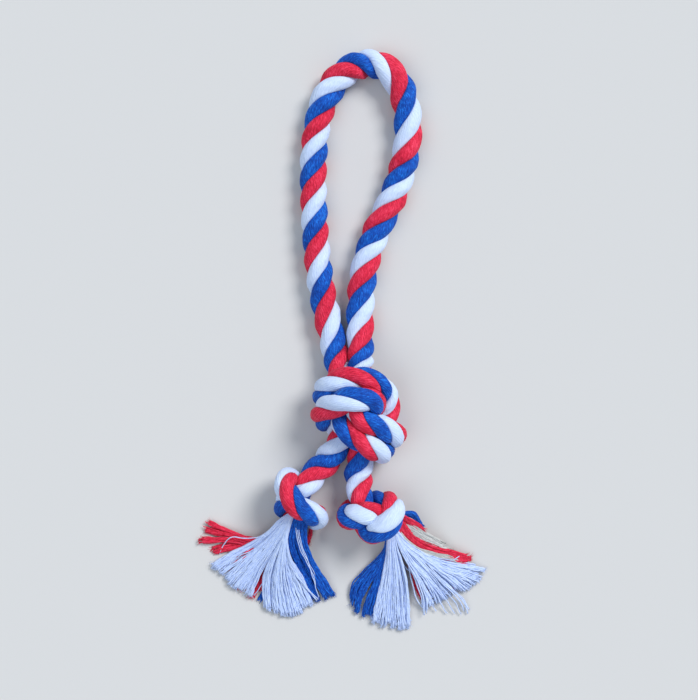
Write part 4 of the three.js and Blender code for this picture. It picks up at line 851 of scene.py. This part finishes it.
def tassel(name, bundles, seed):
    """bundles: guides, number of yarns, colour, how far they wander, how unevenly they are cut, heap, yarn radius, locks, how far a lock draws together."""
    r = np.random.default_rng(seed)
    V, Q, T, U, MQ, MT = [], [], [], [], [], []
    base = 0

    def add(v, q, tt, uv, mat):
        nonlocal base
        V.append(v)
        Q.append(q + base)
        T.append(tt + base)
        U.append(uv)
        MQ.append(np.full(len(q), mat))
        MT.append(np.full(len(tt), mat))
        base += len(v)

    for G, count, mat, wander, short, lift, radius, locks, *draw in bundles:
        tt_ = np.linspace(0, 1, G.shape[1])
        own = [(wiggle(tt_, r, 0.8), wiggle(tt_, r, 0.8), abs(r.normal(0, short * 0.8)), r.uniform(-0.5, 0.5)) for _ in range(locks)]
        for k in range(count):
            w = (k + r.uniform(0, 1)) / count
            lock = min(int(w * locks), locks - 1)
            # yarns of one lock draw together towards its middle, most of all near the tip
            mid = (lock + 0.5) / locks
            gather = (draw[0] if draw else 0.24) * np.clip(tt_, 0, 1) ** 1.5
            line = np.array([between(G, float(np.clip(w + (mid - w) * g, 0, 1)))[i] for i, g in enumerate(gather)]) if locks > 1 else between(G, float(w)).copy()
            sway_lock, lift_lock, cut_lock, turn_lock = own[lock]
            cut = 1 - abs(r.normal(0, short)) - cut_lock
            keep = max(8, int(round(len(line) * min(max(cut, 0.6), 1.0))))
            tangent = unit(np.gradient(line, axis=0))
            side = unit(np.cross(tangent, [0, 0, 1.0]))
            sway = wander * (0.8 * sway_lock + 0.62 * wiggle(tt_, r) + 0.42 * r.normal() * tt_)
            line = line + side * sway[:, None]
            # pile: a yarn has its own layer in the heap, and the heap thins out to the tips
            layer = r.uniform(0, 1)
            line[:, 2] += layer * lift * np.sin(np.pi * np.clip(0.10 + 0.80 * tt_, 0, 1)) ** 0.8 + 0.5 * lift_lock + 0.35 * wiggle(tt_, r)
            rr = radius * r.uniform(0.82, 1.12)
            line = resampled(line[:keep], YARN_STEPS)
            # crimp left in the yarn by the lay of the rope
            along = np.r_[0, np.cumsum(np.linalg.norm(np.diff(line, axis=0), axis=1))]
            free = np.clip(along / along[-1] * 1.6 - 0.25, 0, 1)
            aside = unit(np.cross(unit(np.gradient(line, axis=0)), [0, 0, 1.0]))
            turn = 2 * np.pi * along / r.uniform(9.0, 15.0) + r.uniform(0, 2 * np.pi)
            line = line + aside * (r.uniform(0.08, 0.30) * free * np.cos(turn))[:, None]
            line[:, 2] += 0.20 * free * np.sin(turn)
            line[:, 2] = np.maximum(line[:, 2], ORIGIN[2] + rr * 0.9 + 0.04)
            add(*tube(line, rr, int(r.integers(1 << 30)), YARN_SIDES), mat)
            # the cut end frays into its plies and a few single fibres
            d_ = unit(line[-1] - line[-3])
            s_ = unit(np.cross(d_, [0, 0, 1.0]))
            for f in range(4):
                thin = radius * (0.42 if f < 2 else 0.17)
                reach = r.uniform(1.2, 2.6) if f < 2 else r.uniform(2.0, 4.2)
                aim = unit(d_ + s_ * r.normal(0, 0.22 if f < 2 else 0.40) + np.array([0, 0, 1.0]) * r.normal(0.02, 0.10))
                curl = s_ * r.normal(0, 0.35)
                q_ = np.linspace(0, 1, 5)[:, None]
                fibre = line[-2] + (s_ * r.normal(0, 0.22) * rr) + aim * reach * q_ + curl * reach * 0.4 * q_ ** 2
                fibre[:, 2] = np.maximum(fibre[:, 2], ORIGIN[2] + thin + 0.04)
                add(*tube(fibre, thin, int(r.integers(1 << 30)), 4 if f < 2 else 3), mat)
    V, Q, T, U = map(np.concatenate, (V, Q, T, U))
    V[:, 2] = np.maximum(V[:, 2], ORIGIN[2] + 0.03)
    return mesh_object(name, V, Q, T, np.concatenate([np.concatenate(MQ), np.concatenate(MT)]), U, (YARN_RED, YARN_WHITE, YARN_BLUE, YARN_GREY))


# plan x, plan y, height in mm of each guide's points, root first
LT_WHITE_A = guides([
    [(295, 509, 18), (286, 514, 19), (278, 520, 17), (270, 529, 13), (260, 536.5, 8.6), (245, 546, 4.4), (226, 556, 2.6), (208, 567, 1.5)],
    [(297, 509, 19), (290, 515.5, 20.5), (282, 526, 18), (271, 540, 12.4), (257, 555, 7.4), (242, 571, 4.2), (228, 586, 1.9)],
    [(298, 509, 20), (292, 516, 21.5), (284, 531, 17.8), (274.5, 548, 12.2), (264, 566, 7.6), (256, 584, 4.1), (249, 601, 1.9)],
])
LT_WHITE_B = guides([
    [(298, 509, 20), (291.5, 516, 21.5), (284, 533, 17.6), (274, 551, 12), (265, 570, 7.2), (262, 588, 3.8), (263, 608, 1.8)],
    [(298, 509, 20), (292, 516.5, 21.8), (285.5, 536, 17.6), (280.5, 556, 12), (277, 577, 7.4), (277, 597, 3.8), (279, 617, 1.8)],
    [(299, 509, 20), (292.5, 516.5, 21.8), (286.5, 536, 17.6), (285.5, 556, 12), (287, 577, 7.4), (291, 597, 3.8), (297, 617, 1.8)],
    [(299, 509, 20), (293, 516.5, 21.4), (287.5, 537, 16.8), (289.5, 555, 12), (296, 568, 8), (303, 581, 4.7), (313, 606, 1.8)],
])
LT_BLUE_A = guides([
    [(298, 510, 19), (292.5, 517, 20.4), (288.5, 531, 17), (288.5, 545, 11.5), (295, 562, 6), (302, 582, 2.8), (309, 602, 1.6)],
    [(301, 510, 19), (296, 517, 21.4), (292.5, 531, 17.4), (292.5, 545, 11.8), (299, 563, 6), (307, 583, 2.8), (315, 603, 1.6)],
    [(303, 510, 19), (300, 517, 21.6), (297, 531, 16.8), (296.8, 545, 11), (303, 563, 5.5), (312, 582, 2.6), (321, 602, 1.5)],
])
LT_BLUE_B = guides([
    [(303, 510, 19), (299, 517, 21.4), (296, 530, 17.2), (297, 545, 11.8), (304.8, 563, 6.6), (314, 581, 3.4), (325, 601, 1.6)],
    [(305, 510, 19), (303.5, 517.5, 21.4), (301.5, 531, 17), (302.8, 545, 11.8), (310, 562, 6.6), (319, 579, 3.4), (330, 599, 1.6)],
    [(306, 510, 18), (308, 519, 20), (306.5, 532, 15.4), (307.5, 545, 10.6), (313.5, 561, 5.8), (323, 577, 2.8), (336, 596, 1.5)],
])
LT_BLUE_UNDER = guides([
    [(300, 510, 15), (294, 522, 15), (286, 540, 10), (277, 560, 4), (268, 580, 2.0), (257, 602, 1.1)],
    [(300, 510, 15), (295, 522, 15), (289, 543, 9), (283, 562, 4), (276, 584, 1.8), (268, 606, 1.1)],
    [(300, 510, 15), (296, 522, 15), (292, 545, 9), (294, 562, 4), (299, 580, 1.8), (308, 597, 1)],
])
LT_RED = guides([
    [(297, 514, 13), (288, 521, 13), (275, 533, 8.5), (262, 539, 5), (248, 539, 3.8), (232, 533, 2.8), (220, 527, 2.0), (206, 519.5, 1.4)],
    [(297, 514, 13), (288, 522, 13), (275, 534, 8.5), (262, 541, 4.8), (247, 541, 3.6), (230, 536.5, 2.6), (216, 532.5, 1.9), (202, 529, 1.4)],
    [(297, 514, 13), (288, 522.5, 12.5), (275, 535.5, 8), (262, 543, 4.4), (245, 543.5, 3.2), (228, 541, 2.3), (213, 541, 1.7), (198, 542.5, 1.3)],
    [(297, 514, 12.5), (288, 524, 12), (275, 538, 7.5), (260, 547, 4), (246, 550, 2.8), (234, 552.5, 2.0), (226, 555, 1.6), (218, 558, 1.3)],
])
# red yarns that come up between the white ones for part of their way
LT_RED_PEEK = guides([
    [(298, 510, 16), (290, 519, 16), (276, 533, 12), (258, 544, 7.5), (246, 551, 7.4), (236, 556, 5.6), (226, 562, 2.2), (220, 566, 1.2)],
    [(298, 510, 16), (291, 520, 16), (276, 536, 12), (259, 551, 7.5), (247, 559, 7.0), (238, 564, 4.6), (230, 571, 1.8), (226, 575, 1.2)],
])
LT_RED_UNDER = guides([
    [(297, 512, 15), (288, 524, 14), (274, 542, 8), (256, 558, 3), (240, 574, 1.8), (229, 588, 1.1)],
    [(297, 512, 15), (290, 524, 14), (277, 545, 8), (264, 566, 3.2), (256, 584, 1.9), (249, 603, 1.1)],
    [(297, 512, 15), (290, 524, 14), (281, 545, 8), (270, 566, 3.4), (264, 582, 2.0), (258, 594, 1.2)],
])
LT_RED_STUB = guides([
    [(305, 512, 15), (310, 524, 12), (309, 533, 7), (307, 541, 3.5), (306, 546, 1.8)],
    [(306, 512, 15), (312, 524, 11), (311.5, 532, 6.4), (310, 539, 3), (309, 544, 1.5)],
])
LT_STRAYS = guides([
    [(298, 510, 20), (290, 518, 21), (270, 533, 15), (248, 537, 10), (232, 535, 8), (222, 543, 4.5), (215, 556, 1.3)],
    [(298, 510, 20), (291, 518, 22), (276, 540, 16), (253, 562, 9.4), (236, 576, 5.4), (226, 588, 1.6)],
    [(299, 510, 20), (293, 518, 22.5), (284, 540, 17.5), (272, 562, 11.5), (262, 585, 6.5), (249, 603, 1.5)],
])
LT_STRAYS_B = guides([
    [(300, 510, 19), (297, 517, 21.6), (296.5, 530, 20.6), (300, 548, 16), (309, 569, 10.6), (318, 603, 2.4)],
    [(302, 510, 19), (301, 517, 21.8), (301, 530, 20.8), (304.5, 548, 16), (309, 560, 11.4), (316, 574, 7.2)],
])
LT_STRAYS_C = guides([
    [(298, 509, 20), (292, 518, 23), (286, 543, 18.4), (291, 566, 13), (303, 585, 8.6), (318, 604, 3.2)],
    [(299, 509, 20), (293, 518, 23), (288, 543, 18.4), (294, 566, 13), (307, 588, 8), (320, 603, 3.0)],
])

RT_WHITE_A = guides([
    [(390, 522, 16), (389.5, 531, 15), (387, 540, 13), (386, 555, 9), (383, 575, 6), (379.5, 594, 3.5), (371.6, 624, 1.6)],
    [(391, 522, 16.5), (391.5, 531, 15.5), (389.5, 544, 13.5), (390, 560, 10), (388.5, 582, 6.5), (386, 605, 3.5), (383, 630, 1.6)],
    [(392, 522, 17), (393, 531, 16), (393.5, 545, 13.5), (396, 562, 10), (398.5, 584, 6.5), (399, 608, 3.5), (400, 635, 1.6)],
    [(392, 522, 17), (394, 531, 16), (397, 545, 13.5), (402, 560, 10), (406.5, 578, 6.5), (408, 600, 3.5), (407.5, 631, 1.6)],
])
RT_WHITE_B = guides([
    [(392, 522, 17), (394, 531, 16), (399, 545, 13.5), (407.5, 562, 9.5), (418, 582, 6), (425.5, 601, 3.5), (428, 620, 1.6)],
    [(393, 522, 17), (395, 531, 16), (401, 545, 13.5), (412, 562, 9.8), (425.5, 578, 6.4), (435, 592, 3.8), (441, 607, 1.6)],
    [(393, 522, 16.5), (396, 531, 15.8), (403, 544, 13), (417, 558.5, 9.4), (433, 574, 5.9), (446, 587, 3.2), (456, 598, 1.6)],
    [(393, 522, 16), (397, 531, 15.4), (405, 543, 12.6), (422, 556, 9), (441, 569.5, 5.8), (458, 581, 3.2), (471, 591, 1.5)],
    [(393, 522, 16), (397.5, 530.5, 15), (405.5, 542, 12), (421, 554.5, 8), (442, 566, 5.2), (465, 575, 3), (484, 583, 1.5)],
    [(393, 522, 15), (398, 530, 14.6), (406, 540, 11.4), (421, 551, 7.6), (441, 560.5, 5), (464, 567.5, 3), (489, 573, 1.5)],
])
RT_RED = guides([
    [(392, 516, 15), (400, 517.5, 16), (408, 528, 13.6), (419, 540, 10), (435, 548, 6.4), (454, 554, 4.2), (473, 558.5, 2.2)],
    [(392, 518, 15), (399, 521, 15.6), (406.5, 531.5, 12.8), (418, 543, 9.2), (435, 551.5, 5.8), (454, 557, 3.8), (474, 561, 2)],
    [(392, 519, 15), (398, 525, 15.5), (405, 535, 12), (417, 546, 8.5), (435, 554.5, 5.2), (454, 560, 3.4), (474, 564, 1.9)],
    [(391, 523, 14), (396, 531, 14.5), (403, 540, 11), (416, 549, 7.5), (435, 557.5, 4.4), (454, 563.5, 3), (473, 568, 1.8)],
])
RT_RED_SPUR = guides([
    [(396, 513.5, 16.4), (402, 513.5, 17.4), (409, 517.5, 16.4), (417, 523, 14.6), (425, 529.5, 12.8)],
    [(396, 515, 16.4), (402, 515.5, 17.2), (409, 520, 16), (416, 525, 14.2), (422, 530, 12.6)],
    [(396, 517, 16), (402, 519, 16.4), (407, 523.5, 15), (411, 527, 13.8), (415, 531, 12.8)],
])
RT_RED_UNDER = guides([
    [(392, 522, 12), (396, 532, 11), (403, 550, 6), (411, 572, 2.8), (417, 588, 1.8), (424, 602, 1.1)],
    [(392, 522, 12), (397, 532, 11), (406, 550, 6), (416, 572, 2.8), (422, 586, 1.8), (426, 596, 1.1)],
    [(392, 522, 12), (398, 533, 10), (412, 552, 5), (434, 570, 2.5), (455, 584, 1.6), (466, 590, 1.1)],
])
RT_GREY = guides([
    [(396, 517, 13.4), (404, 520, 14.4), (414, 524.5, 13.4), (425, 531, 10.8), (436, 539, 7.4), (446, 548, 4)],
    [(396, 518, 13.2), (403.5, 523, 14), (413, 529, 12.8), (424, 536, 10), (437, 543, 6.6), (450, 550, 3.8)],
    [(396, 520, 13), (402.5, 527, 13.4), (411, 534, 11.8), (424, 541.5, 8.8), (440, 547.5, 5.6), (456, 553, 3.8)],
])
RT_GREY_LOW = guides([
    [(398, 525, 15.4), (404, 535, 15), (416, 545.5, 12.4), (432, 551.5, 9.2), (448, 555.5, 6.8), (462, 560, 4.4)],
    [(398, 527, 15.4), (404, 537.5, 15), (416, 547.5, 11.8), (432, 555, 8.8), (449, 559, 6.6), (464, 565, 4)],
])
RT_BLUE_STUB = guides([
    [(393, 517, 13), (402, 512.5, 13), (410, 511, 12.4), (417, 514.5, 9.4), (423, 525.5, 4.4)],
    [(393, 518, 12), (402, 515.5, 12.4), (409, 516.5, 11), (416, 520.5, 8.2), (422, 529, 3)],
])
RT_BLUE = guides([
    [(388, 524, 12), (387, 535, 11), (385, 547, 8), (378, 558.5, 5.2), (366.5, 571, 3.4), (355, 587, 2.2), (352.5, 602, 1.3)],
    [(389, 524, 12.5), (387, 535, 11.5), (385, 548, 8.2), (378.5, 562, 5.6), (368, 578, 3.6), (358.5, 595, 2.2), (355.5, 611, 1.3)],
    [(389, 524, 12.5), (387.5, 534, 11.6), (386, 549, 8.4), (380, 565, 5.8), (372, 583, 3.8), (364, 601, 2.2), (360, 619, 1.4)],
    [(390, 524, 13), (389, 534, 12), (387, 551, 8.6), (384, 568, 6), (379, 588, 3.9), (373, 606, 2.3), (368, 624, 1.4)],
    [(390, 524, 13), (390, 534, 12), (390, 550, 8.6), (388, 568, 6), (384, 588, 3.7), (379.5, 604, 2.2), (376, 618, 1.5)],
])
RT_STRAYS = guides([
    [(391, 522, 17), (390, 531, 18), (384.5, 548, 16), (381.5, 566, 12), (382, 580, 7.6), (385, 590, 4)],
    [(393, 522, 17), (398, 531, 18), (412, 543, 14), (432, 553, 10), (455, 559, 7.6), (463, 556, 6), (470, 553, 3)],
])
RT_STRAYS_B = guides([
    [(392, 522, 17), (396, 532, 17), (405, 552, 12.5), (411, 582, 7), (418, 604, 4), (426, 612, 1.5)],
    [(393, 522, 17), (398, 533, 16), (420, 560, 12), (446, 590, 7), (458, 602, 4), (464, 616, 1.5)],
    [(393, 522, 17), (398, 533, 16), (422, 558, 12), (448, 584, 7), (464, 598, 4), (475, 612, 1.5)],
])

R, W, B, G_ = 0, 1, 2, 3
few = 1.0
k_ = lambda n: max(3, int(n * few))
YR = YARN_R
left_tassel = tassel("tassel_left_yarns", [
    (LT_RED_UNDER, k_(36), R, 1.2, 0.05, 1.2, YR, 3), (LT_BLUE_UNDER, k_(40), B, 1.2, 0.05, 1.2, YR, 4),
    (LT_RED, k_(92), R, 1.8, 0.05, 2.6, YR * 0.95, 4, 0.62), (LT_RED_STUB, k_(12), R, 0.5, 0.05, 1.0, YR, 1),
    (LT_BLUE_A, k_(58), B, 0.9, 0.03, 3.2, YR, 2), (LT_BLUE_B, k_(74), B, 0.9, 0.03, 3.6, YR, 3),
    (LT_WHITE_A, k_(150), W, 1.3, 0.035, 4.0, YR, 9), (LT_WHITE_B, k_(210), W, 1.1, 0.03, 4.6, YR, 9),
    (LT_RED_PEEK, k_(9), R, 1.4, 0.06, 0.8, YR * 0.8, 1),
    (LT_STRAYS, 5, W, 1.6, 0.03, 0.8, YR * 0.66, 1), (LT_STRAYS_B, 3, W, 0.8, 0.03, 0.5, YR * 0.62, 1),
    (LT_STRAYS_C, 3, W, 0.8, 0.03, 0.5, YR * 0.72, 1),
], 41)
right_tassel = tassel("tassel_right_yarns", [
    (RT_RED_UNDER, k_(50), R, 1.2, 0.05, 1.2, YR, 4), (RT_BLUE, k_(140), B, 2.0, 0.065, 3.8, YR * 1.04, 6, 0.55),
    (RT_BLUE_STUB, k_(40), B, 0.6, 0.05, 2.4, YR, 1), (RT_GREY, k_(64), G_, 1.3, 0.045, 2.0, YR * 0.82, 4),
    (RT_RED, k_(112), R, 1.4, 0.05, 2.8, YR, 5, 0.40), (RT_RED_SPUR, k_(26), R, 0.7, 0.10, 1.0, YR * 0.9, 3),
    (RT_GREY_LOW, k_(9), G_, 0.7, 0.05, 0.8, YR * 0.72, 1),
    (RT_WHITE_A, k_(160), W, 1.9, 0.045, 4.0, YR, 11, 0.42), (RT_WHITE_B, k_(235), W, 2.3, 0.055, 4.0, YR, 13, 0.36),
    (RT_STRAYS, 4, W, 1.0, 0.03, 0.6, YR * 0.7, 1), (RT_STRAYS_B, 9, W, 2.4, 0.03, 0.6, YR * 0.8, 1),
], 43)
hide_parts("left_tassel_red", "left_tassel_white", "left_tassel_blue")
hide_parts("right_tassel_red", "right_tassel_white", "right_tassel_blue")

# ---------------------------------------------------------------------------------------------------------
# How the pieces are placed: the two main-knot pieces follow the main knot's body, the others stay fixed where they lie
# ---------------------------------------------------------------------------------------------------------
blend_at(left_end)
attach(knot_left, "main_knot")
blend_at(leg_left)
blend_at(crown)
blend_at(leg_right)
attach(knot_right, "main_knot")
blend_at(right_end)
blend_at(left_tassel)
blend_at(right_tassel)

# ---------------------------------------------------------------------------------------------------------
# Floor, light and camera
# ---------------------------------------------------------------------------------------------------------
floor_mat = bpy.data.materials.new("floor_pale")
floor_mat.use_nodes = True
fb = floor_mat.node_tree.nodes["Principled BSDF"]
fb.inputs["Base Color"].default_value = (0.66, 0.63, 0.605, 1)
fb.inputs["Roughness"].default_value = 0.9
fb.inputs["Specular IOR Level"].default_value = 0.0
bpy.ops.mesh.primitive_plane_add(size=60, location=(0, 0, 0))
floor = bpy.context.object
floor.name = "floor"
floor.data.materials.append(floor_mat)

world = bpy.data.worlds.new("soft")
bpy.context.scene.world = world
world.use_nodes = True
world.node_tree.nodes["Background"].inputs[0].default_value = (0.70, 0.845, 1.0, 1)
world.node_tree.nodes["Background"].inputs[1].default_value = 0.46


def far_light(name, where, spread, strength, colour):
    """A broad light far away, so that it falls evenly over the object and the floor."""
    d = bpy.data.lights.new(name, "SUN")
    d.angle, d.energy, d.color = math.radians(spread), strength, colour
    o = bpy.data.objects.new(name, d)
    bpy.context.scene.collection.objects.link(o)
    o.location = where
    o.rotation_euler = (Vector((0, 0, 0)) - Vector(where)).to_track_quat("-Z", "Y").to_euler()
    return o


key = far_light("key", (1.1, 1.0, 1.5), 24, 2.6, (0.94, 0.97, 1.0))
fill = far_light("fill", (-0.9, -0.5, 1.7), 44, 0.75, (0.86, 0.93, 1.0))

cam_data = bpy.data.cameras.new("camera")
cam = bpy.data.objects.new("camera", cam_data)
bpy.context.scene.collection.objects.link(cam)
HEIGHT = 1.15
AIM = (flat(349, 350) - ORIGIN[:2]) / 1000.0
cam.location = (float(AIM[0]), float(AIM[1]), HEIGHT)
cam.rotation_euler = (0, 0, 0)
cam_data.sensor_fit = "VERTICAL"
cam_data.sensor_height = 24
cam_data.lens = 24 * (HEIGHT - 0.009) / (700 * PX / 1000)
cam_data.clip_start = 0.01
bpy.context.scene.camera = cam
bpy.context.scene.view_settings.view_transform = "Standard"
bpy.context.scene.view_settings.exposure = 0.0
